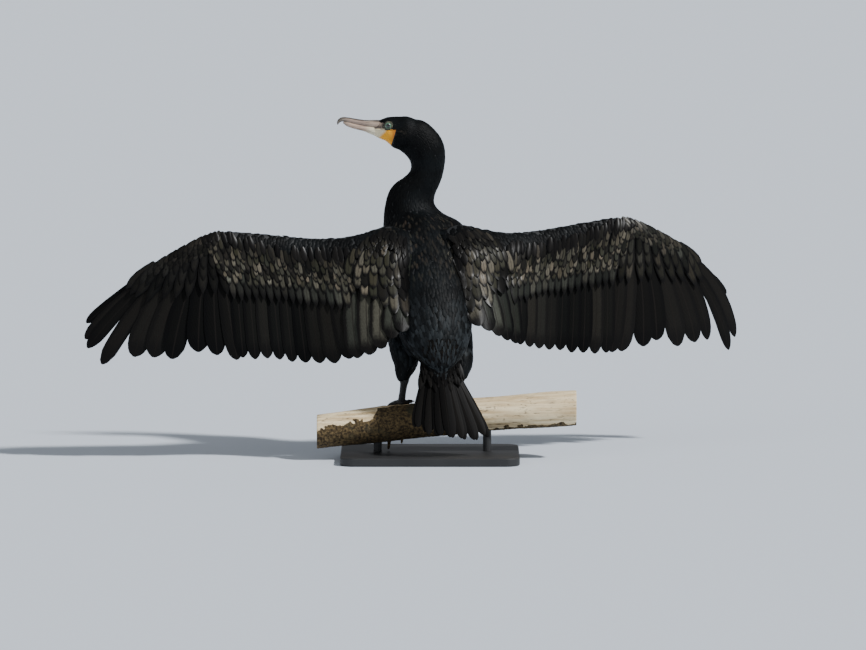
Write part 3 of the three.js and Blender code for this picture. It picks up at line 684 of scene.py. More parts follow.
def unwrap(points, part, along):  # each skin point's place on it
    spots = np.zeros((len(points), 2))
    x, y, z = points.T
    middle, way, _ = guideLines()["body"]
    nearest = np.clip((along * (len(middle) - 1)).round().astype(int), 0, len(middle) - 1)
    onBody = part == "body"
    off = points - middle[np.where(onBody, nearest, 0)]
    axis = unit(way)[np.where(onBody, nearest, 0)]
    finerAlong = along + dot(off, axis) / 640
    side = unit(np.cross(axis, (0.2, 0.9, 0.1)))
    turn = np.arctan2(dot(off, np.cross(axis, side)), dot(off, side)) / (2 * math.pi) + 0.5
    left, width, foot, height = layout["body"]
    spots[onBody] = stacked(left + width * turn, foot + height * finerAlong)[onBody]
    left, width, foot, height = layout["thigh"]
    for i, leg in enumerate(legs):
        own = part == "thigh_" + leg["name"]
        turn = np.arctan2(y + 12, x - leg["side"] * 45) / (2 * math.pi) + 0.5
        down = (250 - z) / 125
        flat = stacked(left + width * turn, foot + layout["thighStep"] * i + height * down)
        spots[own] = flat[own]
    left, step, gap, width = layout["arm"]
    for i, wingSide in enumerate(wingSides):
        own = part == "arm_" + wingSide["name"]
        place = wingPlace(wingSide)
        p, q = abs(x), wing["top"] - z
        outer = dot(points - place(p, q, 0 * p), place(p, q, 0 * p + 1) - place(p, q, 0 * p))
        flat = stacked(left + step * i + np.sign(outer) * (gap + (q + 10) / 115 * width), p / 500)
        spots[own] = flat[own]
    return spots


def unwrapSkin(mesh):
    _, part, along = lieAt(skinPoints)
    corners, starts = numbersOf(mesh.loops, "vertex_index"), numbersOf(mesh.polygons, "loop_start")
    faceOf = np.repeat(np.arange(len(starts)), np.diff(np.append(starts, len(corners))))
    facePart = part[corners[starts]][faceOf]
    spots = unwrap(skinPoints[corners], facePart, along[corners])
    first = spots[starts][faceOf]
    jump = spots[:, 0] - first[:, 0]  # corners across the seam stay beside their face
    width = np.where(facePart == "body", layout["body"][1], layout["thigh"][1])
    spots[:, 0] -= np.where(abs(jump) > width / 2, np.sign(jump) * width, 0)
    setUv(mesh, "OFBake", spots)


unwrapSkin(skinMesh)


# Closed vanes with sharp rims, gathered into one mesh
class Coat:
    def __init__(self, name):
        self.name = name
        self.points, self.quads, self.rim, self.vane, self.tint, self.bake = [], [], [], [], [], []
        self.count = 0

    def add(self, sheet, outward, thickness, across, along, tint, spots, patch):
        # sheet: middle points, feather by row by column; outward: a rough way for each feather
        number, rows, columns = sheet.shape[:3]
        normal = unit(np.cross(np.gradient(sheet, axis=1), np.gradient(sheet, axis=2)))
        facing = dot(normal.mean((1, 2)), outward) < 0
        sheet = np.where(facing[:, None, None, None], sheet[:, :, ::-1], sheet)
        normal = np.where(facing[:, None, None, None], -normal[:, :, ::-1], normal)
        u = np.broadcast_to(across, (number, rows, columns))
        u = np.where(facing[:, None, None], u[:, :, ::-1], u)
        thick = np.where(facing[:, None, None], thickness[None, :, ::-1], thickness[None])[..., None]
        t = np.broadcast_to(along[None, :, None], u.shape)
        a, c = np.meshgrid(np.arange(rows), np.arange(columns), indexing="ij")
        rim = (a == 0) | (a == rows - 1) | (c == 0) | (c == columns - 1)
        inner = np.flatnonzero(~rim.ravel())
        top = np.arange(rows * columns)
        under = top.copy()
        under[inner] = rows * columns + np.arange(len(inner))
        grid = top.reshape(rows, columns)
        cells = stacked(grid[:-1, :-1], grid[1:, :-1], grid[1:, 1:], grid[:-1, 1:]).reshape(-1, 4)
        faces = np.concatenate([cells, under[cells][:, ::-1]])
        upper, lower = sheet + normal * thick / 2, sheet - normal * thick / 2

        def flat(values, others):
            values = values.reshape(number, rows * columns, -1)
            return np.concatenate([values, others.reshape(number, rows * columns, -1)[:, inner]], 1)

        at = flat(upper, lower)
        each = at.shape[1]
        order = self.count + np.arange(number)[:, None, None] * each
        self.points.append(at.reshape(-1, 3))
        self.quads.append((faces[None] + order).reshape(-1, 4))
        edge = np.concatenate([rim.ravel(), np.zeros(len(inner), bool)])
        self.rim.append(np.tile(edge, number))
        lie = flat(stacked(u, t), stacked(u, t))
        self.vane.append(np.concatenate([lie, np.zeros((*lie.shape[:2], 1))], -1).reshape(-1, 3))
        self.tint.append(np.repeat(tint, each, axis=0))
        corner = spots[:, None] + (lie - (0, 0.5)) * (np.asarray(patch) * (0.5, 1))
        self.bake.append(corner.reshape(-1, 2))
        self.count += number * each

    def finish(self, paint, slot, *nodes):
        mesh = meshFrom(self.name, np.concatenate(self.points), np.concatenate(self.quads))
        rim = np.concatenate(self.rim)[numbersOf(mesh.edges, "vertices", 2)].all(1)
        sharp = mesh.attributes.new("sharp_edge", "BOOLEAN", "EDGE")
        sharp.data.foreach_set("value", rim)
        setValues(mesh, "vane", np.concatenate(self.vane))
        setValues(mesh, "tint", np.concatenate(self.tint))
        setUv(mesh, "OFBake", np.concatenate(self.bake))
        print(self.name + ":", 2 * len(mesh.polygons), "triangles")
        return pieceOf(mesh, paint, slot, *nodes)


# Small feathers strewn over the skin, denser and finer towards the face
small = {
    "head": {"length": 6.5, "width": 2.9, "apart": 1.75, "rise": 0.5},
    "neck": {"length": 10, "width": 4.6, "apart": 2.9, "rise": 0.8},
    "torso": {"length": 17, "width": 9.5, "apart": 5.2, "rise": 1.2},
    "thigh": {"length": 14, "width": 6, "apart": 3.9, "rise": 1.0},
    "arm": {"length": 13, "width": 7.6, "apart": 4.6, "rise": 1.1},
    "tries": 3.2,  # for each feather that would fit
    "cell": 5.3,  # just over the widest spacing
    "astray": 0.07,  # how far a feather's way may wander
    "sizes": ((0.85, 1.15), (0.88, 1.12)),  # how far lengths and widths vary
    "atFace": (0.6, 0.75),  # shares of the length and the width that are left there
    "shoulderGlints": (0.6, 0.3),  # painted glints, as light brown spots: strength, and the share of feathers that have one
    "cheekMarks": (0.7, 0.5),
}
smallVane = {
    "rows": np.array([0, 0.34, 0.72, 1.0]),
    "columns": np.array([-1.0, 0, 1.0]),
    "reach": np.array([0.5, 0.95, 0.8, 0.16]),  # share of the half width at each row
    "arch": 0.16,
    "shaft": 0.3,
}


def smallSizes(part, along):  # length, width, spacing and rise at places on the skin
    columns = []
    for key in ("length", "width", "apart", "rise"):
        onHead, onNeck, onTorso = [small[name][key] for name in ("head", "neck", "torso")]
        value = lerp(onHead, onNeck, smoothStep(along, 0.12, 0.42))
        value = lerp(value, onTorso, smoothStep(along, 0.5, 0.78))
        value = np.where(np.char.startswith(part, "thigh"), small["thigh"][key], value)
        value = np.where(np.char.startswith(part, "arm"), small["arm"][key], value)
        columns.append(value)
    return columns


def isClear(at, room, others):
    for x, y, z in others:
        if (at[0] - x) ** 2 + (at[1] - y) ** 2 + (at[2] - z) ** 2 < room * room:
            return False
    return True


def strewn():  # even random places on the skin, each with its own spacing
    corners = skinPoints[skinFaces]
    normal = np.cross(corners[:, 1] - corners[:, 0], corners[:, 2] - corners[:, 0])
    area = np.linalg.norm(normal, axis=1) / 2
    middle = corners.mean(1)
    _, part, along = lieAt(middle)
    apart = smallSizes(part, along)[2]
    weight = area / apart**2
    tries = int(weight.sum() * small["tries"])
    chosen = draws.choice(len(middle), tries, p=weight / weight.sum())
    a, b = draws.random((2, tries, 1))
    over = a + b > 1
    a, b = np.where(over, 1 - a, a), np.where(over, 1 - b, b)
    c = corners[chosen]
    points = c[:, 0] + a * (c[:, 1] - c[:, 0]) + b * (c[:, 2] - c[:, 0])
    cell = small["cell"]
    steps = [(dx, dy, dz) for dx in (-1, 0, 1) for dy in (-1, 0, 1) for dz in (-1, 0, 1)]
    kept, cells = [], {}
    for i, (at, room) in enumerate(zip(points.tolist(), apart[chosen].tolist())):
        x, y, z = [int(v // cell) for v in at]
        near = [cells.get((x + dx, y + dy, z + dz), ()) for dx, dy, dz in steps]
        if all(isClear(at, room, others) for others in near):
            kept.append(i)
            cells.setdefault((x, y, z), []).append(at)
    return points[kept], unit(normal[chosen[kept]])


def onSkin(points):  # nearest places on the skin and their outward ways
    found = [skinTree.find_nearest(Vector(p)) for p in points.reshape(-1, 3).tolist()]
    at = np.array([f[0] for f in found]).reshape(points.shape)
    out = np.array([f[1] for f in found]).reshape(points.shape)
    return at, out


def coverSkin(paint):
    points, normal = strewn()
    way, part, along = lieAt(points)
    length, width, _, rise = smallSizes(part, along)
    flatHead, isBody = toHead(points), part == "body"
    _, forward, up = flatHead.T
    bare = bareSkin(flatHead) * (forward > -15) * isBody
    atBill = isBody & (forward > 17.5) & (up > -40)
    p, q = abs(points[:, 0]), wing["top"] - points[:, 2]
    lead, trail = armAt[0](p), armAt[1](p)
    behind = np.char.startswith(part, "arm") & ((q - lead) / (trail - lead) > 0.9)
    keep = (bare < 0.4) & ~atBill & ~behind
    points, normal, way, part, along = [v[keep] for v in (points, normal, way, part, along)]
    length, width, rise, isBody = [v[keep] for v in (length, width, rise, isBody)]
    forward, up, number = forward[keep], up[keep], len(points)
    nearFace = np.clip((forward + 14) / 30, 0, 1) * isBody
    (longs, wides), (lengthLeft, widthLeft) = small["sizes"], small["atFace"]
    length = length * lerp(1, lengthLeft, nearFace) * draws.uniform(*longs, number)
    width = width * lerp(1, widthLeft, nearFace) * draws.uniform(*wides, number)
    astray = draws.normal(0, small["astray"], (number, 3))
    way = unit(way - dot(way, normal)[:, None] * normal + astray)
    side = unit(np.cross(normal, way))
    rowsAt, columns, reach = [smallVane[key] for key in ("rows", "columns", "reach")]
    each = (slice(None), None, None)
    sheet = (
        points[each]
        + way[each] * (rowsAt[None, :, None] * length[each])[..., None]
        + side[each] * (columns * reach[:, None] * width[each] / 2)[..., None]
    )
    at, out = onSkin(sheet)
    lift = (-0.25 + 1.1 * rowsAt[None, :, None]) * rise[each] + draws.uniform(0, 0.35, (number, 1, 1))
    arch = smallVane["arch"] * width[each] * (1 - columns**2)[None, None] * reach[None, :, None]
    at = at + out * (lift + arch)[..., None]
    thickness = np.where(columns == 0, smallVane["shaft"], 0) * np.ones((len(rowsAt), 1))
    x, y, z = points.T
    (glint, glintShare), (mark, markShare) = small["shoulderGlints"], small["cheekMarks"]
    # painted glints on the shoulders: light brown spots, partly the mantle's own brown and partly
    # painted sun glints
    onShoulder = smoothStep(z, 290, 330) * (1 - smoothStep(z, 400, 425)) * (y < 90)
    bronze = glint * hill(abs(x), 34, 30) * onShoulder
    cheek = hill(forward, -20, 7) * hill(up, -11, 6)
    cheek = cheek * (draws.random(number) < markShare)
    bronze = np.maximum(bronze * (draws.random(number) < glintShare), mark * cheek)
    onRump = (normal[:, 1] < -0.15) * smoothStep(-z, -300, -250) * isBody
    slate = onRump * draws.random(number) ** 1.6
    tint = stacked(draws.random(number), bronze, slate)
    spots = unwrap(points, part, along)
    groups = {
        "feathers_head": isBody & (along < 0.2),
        "feathers_neck": isBody & (along >= 0.2) & (along < 0.6),
        "feathers_torso": isBody & (along >= 0.6),
        "feathers_thighs": np.char.startswith(part, "thigh"),
        "feathers_arms": np.char.startswith(part, "arm"),
    }
    for name, own in groups.items():
        coat = Coat(name)
        coat.add(at[own], normal[own], thickness, columns, rowsAt, tint[own], spots[own], (0.003, 0.003))
        coat.finish(paint, "plumage", "torso")


# Materials
def plumagePaint():  # small black feathers with a faint blue green gloss
    paint = Paint("plumage", Specular_IOR_Level=0.07)
    tone, bronze, slate = [paint.value("tint", i) for i in range(3)]
    along, across = paint.value("vane", 1), abs(paint.value("vane", 0))
    patch = paint.noise(16.0, 4.0)
    black = paint.mix(patch.ramp(0.42, 0.62), (0.0014, 0.0017, 0.002), (0.0042, 0.0055, 0.0064))
    black = paint.mix(tone * 0.4, black, (0.005, 0.0055, 0.0056))
    brown = paint.mix(tone, (0.045, 0.034, 0.025), (0.03, 0.031, 0.024))
    edge = across.ramp(0.55, 0.95)
    edge = edge.math("MAXIMUM", along.ramp(0.8, 1.0))
    black = paint.mix(slate * (1 - edge * 0.7), black, (0.021, 0.025, 0.0275))
    # bronze lays light brown spots: painted glints on the shoulders, and real marks on the cheeks
    spot = (1 - across.ramp(0.2, 0.7)) * (1 - along.ramp(0.6, 0.92))
    base = paint.mix(bronze * spot, black, brown)
    barbs = paint.noise(900.0, 2.0)
    rough = 0.5 + 0.12 * barbs - 0.08 * tone
    return paint.feed(Base_Color=base, Roughness=rough, Normal=paint.bump(barbs, 0.25, 0.0004))


def skinPaint():
    paint = Paint("skin", Specular_IOR_Level=0.4)
    forward, up = paint.value("face", 1), paint.value("face", 2)
    grain = paint.noise(420.0, 4.0)
    bare = (paint.value("bare") + (grain - 0.5) * 0.6).ramp(0.3, 0.6)
    blotch = paint.noise(160.0, 3.0)
    dark = paint.mix(blotch, (0.006, 0.0068, 0.0072), (0.016, 0.0165, 0.015))
    orange = paint.mix((forward + blotch * 4 - 2).ramp(-11, -1), (0.38, 0.075, 0.002), (0.85, 0.35, 0.0))
    pale = paint.mix(grain, (0.66, 0.55, 0.33), (0.8, 0.72, 0.52))
    front = (forward + 0.88 * up + blotch * 3 + 2).ramp(-4, 4)
    gular = paint.mix(front, paint.mix(grain * 0.35, orange, (0.88, 0.5, 0.02)), pale)
    below = (up * -1 + (blotch - 0.5) * 2).ramp(4.6, 6.4)
    lores = paint.mix(blotch.ramp(0.35, 0.65), (0.05, 0.036, 0.03), (0.27, 0.2, 0.15))
    nearEye = paint.mix((forward + grain * 5 - 2.5).ramp(6, 13), dark, lores)
    bareTone = paint.mix(below, nearEye, gular)
    base = paint.mix(bare, (0.007, 0.008, 0.009), bareTone)
    pores = paint.cells(900.0)
    return paint.feed(
        Base_Color=base,
        Roughness=0.62 - 0.2 * bare + 0.1 * grain,
        Normal=paint.bump(pores + grain, 0.3, 0.0003),
    )


def vanePaint(name, sheen, gloss=0.11, velvet=0.0):  # big feathers: a shaft, slanted barbs and an edge
    paint = Paint(name, Specular_IOR_Level=gloss, Coat_Roughness=0.3)
    across, along = paint.value("vane", 0), paint.value("vane", 1)
    tone, bronze, kind = [paint.value("tint", i) for i in range(3)]
    away = abs(across)
    fine = paint.noise(260.0, 3.0)
    edge = (away + (fine - 0.5) * 0.2).ramp(0.44, 0.8)
    edge = edge.math("MAXIMUM", (along + (fine - 0.5) * 0.06).ramp(0.78, 0.93))
    black = paint.mix(tone, (0.0015, 0.0015, 0.0017), (0.005, 0.0045, 0.004))
    # feather centres, olive to tan and grey green to pale grey by tone; the palest are partly the real
    # bronze and partly painted glints of sun
    green = paint.mix(tone ** 2, (0.028, 0.027, 0.014), (0.2, 0.163, 0.115))
    grey = paint.mix(tone ** 2, (0.024, 0.029, 0.023), (0.13, 0.137, 0.108))
    centre = paint.mix(kind, green, grey)
    centre = paint.mix(fine * 0.6, centre, (0.016, 0.015, 0.011))
    base = paint.mix(bronze * (1 - edge), black, centre)
    shaft = 1 - away.ramp(0.03, 0.09)
    base = paint.mix(shaft * 0.6, base, (0.012, 0.01, 0.009))
    slant = (along * 90 + away * 26).math("SINE") * 0.5 + 0.5
    rough = 0.4 + 0.14 * fine + 0.1 * slant + velvet * (1 - bronze)
    coat = (0.02 + sheen * tone) * (1 - shaft)
    return paint.feed(
        Base_Color=base,
        Roughness=rough,
        Coat_Weight=coat,
        Normal=paint.bump(slant + fine, 0.22, 0.0004),
    )


paints = {"plumage": plumagePaint(), "skin": skinPaint()}
fleshNodes = ["head", "neck_upper", "neck_lower", "torso", "thigh_left", "thigh_right"]
fleshNodes += ["wing_left", "wing_right", "tail"]
pieceOf(skinMesh, paints["skin"], "plumage", *fleshNodes)
coverSkin(paints["plumage"])
print("body feathers laid")

# Long feathers, laid out flat on a surface about a bent middle line
longVane = {
    "rows": np.array([0, 0.1, 0.22, 0.34, 0.46, 0.57, 0.67, 0.76, 0.84, 0.9, 0.945, 0.975, 0.993, 1]),
    "columns": np.array([-1, -0.66, -0.3, 0.1, 0.2, 0.3, 0.64, 1]),  # edge to edge, shaft at 0.2
    "shape": [(0, 0.42), (0.35, 0.84), (0.72, 1), (0.88, 0.93), (0.94, 0.74), (0.98, 0.44), (1, 0.12)],
    "shaft": 0.75,
    "web": 0.28,
}
shortVane = {
    "rows": np.array([0, 0.25, 0.5, 0.72, 0.86, 0.95, 1]),
    "columns": np.array([-1, -0.55, 0, 0.55, 1]),
    "shape": [(0, 0.5), (0.4, 0.95), (0.6, 1), (0.78, 0.8), (0.92, 0.42), (1, 0.08)],
    "shaft": 0.5,
    "web": 0.3,
}


def flatVanes(kind, lay, start, end, bow, width, roll, low, high, curl=0.25, ragged=0.0):
    # lay turns flat places and heights into points. Every size is one number or one for each feather
    start, end = np.asarray(start, float), np.asarray(end, float)
    number = len(start)
    bow, width, roll, low, high = [
        np.broadcast_to(value, number).astype(float) for value in (bow, width, roll, low, high)
    ]
    t, u = kind["rows"][None, :, None], kind["columns"]
    way = unit(end - start)
    bend = (start + end) / 2 + stacked(way[:, 1], -way[:, 0]) * bow[:, None]
    start, bend, end = [v[:, None] for v in (start, bend, end)]
    middle = (1 - t) ** 2 * start + 2 * t * (1 - t) * bend + t * t * end
    along = unit((1 - t) * (bend - start) + t * (end - bend))
    reach = through(kind["shape"], 1)(kind["rows"])[None] * width[:, None] / 2
    nicks = 1 - ragged * (draws.random((number, len(kind["rows"]), 1)) ** 5)
    offset = reach[..., None] * u * np.where(abs(u) > 0.9, nicks, 1)
    p = middle[..., 0, None] + along[..., 1, None] * offset
    q = middle[..., 1, None] - along[..., 0, None] * offset
    h = lerp(low[:, None, None], high[:, None, None], t) + roll[:, None, None] * offset
    h = h - curl * (u**2) * reach[..., None] * 0.2
    return lay(p, q, h)


def thicknessOf(kind):
    u, t = kind["columns"], kind["rows"]
    middle = u[len(u) // 2]
    thin = np.where(abs(u) > 0.9, 0, kind["web"])[None]
    return np.where(u == middle, lerp(kind["shaft"], kind["web"], t[:, None]), thin)


hand = {
    "root": (348, 34),  # p and q where the innermost primary starts
    "coverRoot": (351, 30),
    "step": (11.6, 2.6),  # from one primary to the next
    "widths": (33, 36, 38, 38, 37, 35, 24, 22, 20, 16),
    "roll": (0.08, 0.007),  # of the innermost primary, and more for each one outwards
    "outerLift": -1.3,
    "coverts": [(10, 0.42, 17, 3.4, 0.2), (9, 0.29, 14, 4.8, 0.4), (9, 0.18, 12, 6, 0.7)],
    "rim": {"rows": 4, "count": 13, "span": (350, 446), "width": 9.5, "lift": 6.6},
    "thumb": {"root": (352, 12), "rootStep": (2, 5), "tip": (414, 37), "tipStep": (-14, 5)},
}  # coverts: how many, share of the primary's length, width, lift, how grey
wingTiers = {
    "secondary": {
        "count": 9,
        "width": 28,
        "roll": 0.07,
        "bow": 3,
        "from": -10,
        "to": 150,
        "lean": (7, 14),
        "hem": (-3, 0.5),  # how far a tip may be from the hem
        "colour": (0.1, 0.6),
    },
    "tertial": {
        "count": 5,
        "width": (29, 31),
        "roll": 0.14,
        "bow": 8,
        "from": 138,
        "to": 68,
        "lean": (6, 38),
        "lift": (2, 3),
        "clearance": 1.5,
    },
    "greater": {"count": 16, "width": 16, "from": 2, "to": 142, "tip": (116, 138), "lift": 2.8},
    "median": {"count": 19, "width": 12.5, "from": 8, "to": 132, "tip": (94, 116), "lift": 4.4},
    "lesser": {
        "rows": 8,
        "count": 24,
        "width": 9.6,
        "length": 24,
        "from": (16, 4),  # outwards from the innermost primary's tip, and more for each row
        "to": 124,
        "tip": (84, 105),
        "step": 8.6,  # from the tips of one row to the next
        "stray": (2.6, 4.4),
        "lift": (5.2, 0.35),
        "dull": (0.3, 0.15),  # the share of duller feathers, and how bronze they are
    },
    "under": {
        "count": 16,
        "to": 74,
        "rows": [(128, 18, 2.2, 70), (104, 16, 3.4, 52), (84, 14, 4.6, 40)],
    },
}  # lean: how far roots are off their tips. Rows under the arm: tip q, width, lift, length
covertLay = {
    "tilt": 0.9,  # half the rise from root to tip
    "blend": 2.5,
    "curl": 0.5,
    "clearance": (2.2, 0.5),  # of the scapulars over the body, and more for each row
}
# The scapulars over the shoulder: tip q, count, width, length, from p, to p
scapularRows = [
    (48, 12, 7, 15, 46, 96),
    (56, 13, 7.5, 16, 45, 106),
    (64, 12, 8.5, 18, 45, 114),
    (73, 11, 10, 21, 45, 122),
    (84, 9, 12.5, 26, 45, 130),
    (98, 8, 15.5, 33, 46, 132),
    (114, 7, 18, 42, 48, 126),
    (131, 5, 20, 50, 52, 112),
    (150, 3, 21, 58, 56, 90),
]
bandEdge = through([(60, 62), (150, 64), (250, 52), (310, 33), (350, 22), (480, 80)], 1)


def tintOf(number, bronze, grey, spread=0.25):  # tone, how bronze and how grey each feather is
    bronze = np.broadcast_to(bronze, number) * draws.uniform(1 - spread, 1, number)
    grey = np.clip(np.broadcast_to(grey, number) + draws.normal(0, 0.2, number), 0, 1)
    return stacked(draws.random(number), bronze, grey)


def liftedOff(points, clearance, reach=30):  # pushes places near the skin out of the flesh
    at, out = onSkin(points)
    inside = clearance - dot(points - at, out)
    near = np.linalg.norm(points - at, axis=-1) < reach
    return points + out * (np.maximum(inside, 0) * near)[..., None]


def addVanes(coat, kind, sheet, facing, tint, spots, patch):
    outward = np.broadcast_to(facing, (len(sheet), 3))
    coat.add(sheet, outward, thicknessOf(kind), kind["columns"], kind["rows"], tint, spots, patch)


def stepped(first, step, count):  # evenly spaced places, from the first one on
    return np.array(first) + np.arange(count)[:, None] * step


def layFlight(wingSide, place, firstTip):  # sheets and tints of primaries, secondaries and tertials
    tips = np.array(wingSide["primaries"], float)
    hemAt = through(wingSide["hem"], 1)
    number = np.arange(len(tips))
    roots = stepped(hand["root"], hand["step"], len(tips))
    lift = np.where(number == len(tips) - 1, hand["outerLift"], 0)
    widths, roll = np.array(hand["widths"]), hand["roll"][0] + hand["roll"][1] * number
    ends, bows = tips[:, :2], tips[:, 2]
    sheet = flatVanes(longVane, place, roots, ends, bows, widths, roll, lift, lift, ragged=0.1)
    laid = [(sheet, tintOf(len(tips), 0.045, 0.2))]
    tier = wingTiers["secondary"]
    t = np.linspace(0, 1, tier["count"])
    p = lerp(firstTip + tier["from"], tier["to"], t)
    rootP = p + lerp(*tier["lean"], t)
    start = stacked(rootP, rootLine(rootP))
    end = stacked(p, hemAt(p) + draws.uniform(*tier["hem"], len(p)))
    bow, width, roll = [tier[key] for key in ("bow", "width", "roll")]
    sheet = flatVanes(longVane, place, start, end, bow, width, roll, 0, 0, ragged=0.1)
    laid.append((sheet, tintOf(len(p), *tier["colour"])))
    tier = wingTiers["tertial"]
    t = np.linspace(0, 1, tier["count"])
    p = lerp(tier["from"], tier["to"], t)
    rootP = p - lerp(*tier["lean"], t)
    start, end = stacked(rootP, rootLine(rootP) - 6 * t), stacked(p, hemAt(p))
    bow, width, roll = tier["bow"], lerp(*tier["width"], t), tier["roll"]
    lift = tier["lift"][0] + tier["lift"][1] * t
    sheet = flatVanes(longVane, place, start, end, bow, width, roll, lift, lift, ragged=0.15)
    sheet = liftedOff(sheet, tier["clearance"])
    laid.append((sheet, tintOf(len(p), lerp(0.5, 0.8, t), 0.9)))
    return laid


def buildWing(wingSide, paints):
    place = wingPlace(wingSide)
    name, facing, paintedLight = wingSide["name"], np.array((0.0, -1, 0.4)), wingSide["paintedLight"]
    tips = np.array(wingSide["primaries"], float)
    firstTip = tips[0, 0]
    flight = Coat("remiges_" + name)
    laid = layFlight(wingSide, place, firstTip)
    total, done = sum(len(sheet) for sheet, _ in laid), 0
    for sheet, tint in laid:
        spots = stacked((done + np.arange(len(sheet)) + 0.5) / total, 0.5)
        addVanes(flight, longVane, sheet, facing, tint, spots, (0.8 / total, 0.92))
        done += len(sheet)
    flight.finish(paints["remiges"], "flight_feathers", "wing_" + name)

    coverts = Coat("coverts_" + name)
    leadAt = armAt[0]

    def cover(start, end, bow, width, roll, lift, tint, raised=1.8, upper=1, clear=None):
        start, end = np.asarray(start, float), np.asarray(end, float)
        lift = np.broadcast_to(lift, len(start)).astype(float)

        def lay(p, q, h):
            onFlesh = armHeight(p, q) + raised + (h - lift.reshape(-1, 1, 1))
            return place(p, q, upper * highest(h, onFlesh, covertLay["blend"]))

        low, high, curl = lift - covertLay["tilt"], lift + covertLay["tilt"], covertLay["curl"]
        sheet = flatVanes(shortVane, lay, start, end, bow, width, roll * upper, low, high, curl=curl)
        if clear:
            sheet = liftedOff(sheet, clear)
        spots = stacked(0.02 + start[:, 0] / 600, 0.25 + 0.24 * upper + start[:, 1] / 420)
        addVanes(coverts, shortVane, sheet, facing * upper, tint, spots, (0.009, 0.009))

    # the hand's coverts over the primaries, above and below
    for count, share, width, lift, grey in hand["coverts"]:
        root = stepped(hand["coverRoot"], hand["step"], count)
        tip = root + (tips[:count, :2] - root) * share
        bow = tips[:count, 2] * 0.3
        # painted light: on the lit right wing these coverts are painted lighter, as glints
        cover(root, tip, bow, width, 0.14, lift, tintOf(count, 0.1 + paintedLight, grey))
        cover(root, tip, bow, width, 0.14, lift - 1, tintOf(count, 0.1, 0.4), upper=-1)
    # across the arm, the greater coverts and the median ones over them
    for tier, stray in ((wingTiers["greater"], 3), (wingTiers["median"], 2)):
        t = np.linspace(0, 1, tier["count"])
        p = lerp(firstTip + tier["from"], tier["to"], t)
        tipQ = lerp(*tier["tip"], t) + draws.uniform(-stray, stray, len(p))
        if tier is wingTiers["greater"]:
            # painted light: on the lit right wing the greater coverts start lighter
            start, bronze, grey = stacked(p + 6, rootLine(p + 6)), lerp(0.22 + paintedLight, 0.8, t**3), 0.95
        else:
            start, bronze, grey = stacked(p + 5, tipQ - 40), 1, 0.35
        tint = tintOf(len(p), bronze, grey)
        cover(start, stacked(p, tipQ), 1, tier["width"], 0.12, tier["lift"], tint)
    # the lesser coverts, row over row up to the leading edge
    tier = wingTiers["lesser"]
    (fromP, more), (strayP, strayQ) = tier["from"], tier["stray"]
    dullShare, dull = tier["dull"]
    for row in range(tier["rows"]):
        t = np.linspace(0, 1, tier["count"] + row % 2)
        p = lerp(firstTip + fromP + more * row, tier["to"], t)
        p = p + draws.uniform(-strayP, strayP, len(p))
        tipQ = lerp(*tier["tip"], t) - tier["step"] * row + draws.uniform(-strayQ, strayQ, len(p))
        p, tipQ = [v[tipQ > np.maximum(bandEdge(p) - 2, leadAt(p) + 12)] for v in (p, tipQ)]
        if not len(p):
            break
        start = stacked(p + 4 + draws.uniform(-2, 2, len(p)), tipQ - tier["length"])
        start[:, 1] = np.maximum(start[:, 1], leadAt(start[:, 0]) + 2)
        bronze = smoothStep(tipQ, bandEdge(p) + 3, bandEdge(p) + 22)
        bronze = bronze * np.where(draws.random(len(p)) < dullShare, dull, 1)
        width = tier["width"] * draws.uniform(0.86, 1.12, len(p))
        tint, lift = tintOf(len(p), bronze, 0.3), tier["lift"][0] + tier["lift"][1] * row
        cover(start, stacked(p, tipQ), 1, width, 0.1, lift, tint, raised=1.5)
    # small ones over the hand's leading edge, and the thumb's three feathers
    tier = hand["rim"]
    for row in range(tier["rows"]):
        count, (fromP, toP) = tier["count"] - row, tier["span"]
        p = np.linspace(fromP, toP - 8 * row, count) + draws.uniform(-2, 2, count)
        tip = stacked(p + 11, leadAt(p + 6) + 15 + 7 * row + draws.uniform(-2, 2, count))
        start = stacked(p - 3, leadAt(p) + 1 + 6 * row)
        # painted light: the lit right wing's rim feathers are painted much lighter, as glints
        tint, lift = tintOf(count, 0.15 + 1.6 * paintedLight, 0.4), tier["lift"] - 0.4 * row
        cover(start, tip, 1, tier["width"], 0.1, lift, tint, raised=1.4)
    tier = hand["thumb"]
    start, end = stepped(tier["root"], tier["rootStep"], 3), stepped(tier["tip"], tier["tipStep"], 3)
    cover(start, end, 4, 12, 0.1, 5.5, tintOf(3, 0.25, 0.5), raised=1.2)
    # scapulars, tile over tile from the shoulder down
    for row, (tipQ, count, width, length, fromP, toP) in enumerate(reversed(scapularRows)):
        t = np.linspace(0, 1, count)
        shift = (row % 2) * 0.4 * (toP - fromP) / count
        p = lerp(fromP, toP, t) + shift + draws.uniform(-2.5, 2.5, count)
        tip = stacked(p, tipQ + draws.uniform(-5, 5, count) - 10 * t)
        start = tip - stacked(5 + 4 * t + draws.uniform(-3, 3, count), length)
        start[:, 1] = np.maximum(start[:, 1], leadAt(start[:, 0]) + 1)
        dull = draws.random(count) < 0.5 - 0.4 * smoothStep(tipQ, 60, 100)
        bronze = smoothStep(tipQ, 36, 92) * np.where(dull, 0.12, 1) * smoothStep(p, 46, 82)
        width = width * draws.uniform(0.92, 1.08, count)
        tint, lift = tintOf(count, bronze, 0.25), 7 + 0.9 * row
        raised, clear = 2.5 + 0.5 * row, covertLay["clearance"][0] + covertLay["clearance"][1] * row
        cover(start, tip, 2, width, 0.06, lift, tint, raised=raised, clear=clear)
    # under the arm
    tier = wingTiers["under"]
    t = np.linspace(0, 1, tier["count"])
    p = lerp(firstTip, tier["to"], t)
    for tipQ, width, lift, length in tier["rows"]:
        start = stacked(p + 5, np.maximum(tipQ - length + 8 * t, leadAt(p) + 3))
        end = stacked(p, tipQ - 12 + 14 * t)
        cover(start, end, 1, width, 0.1, lift, tintOf(len(p), 0.08, 0.4), upper=-1)
    coverts.finish(paints["coverts"], "plumage", "wing_" + name)


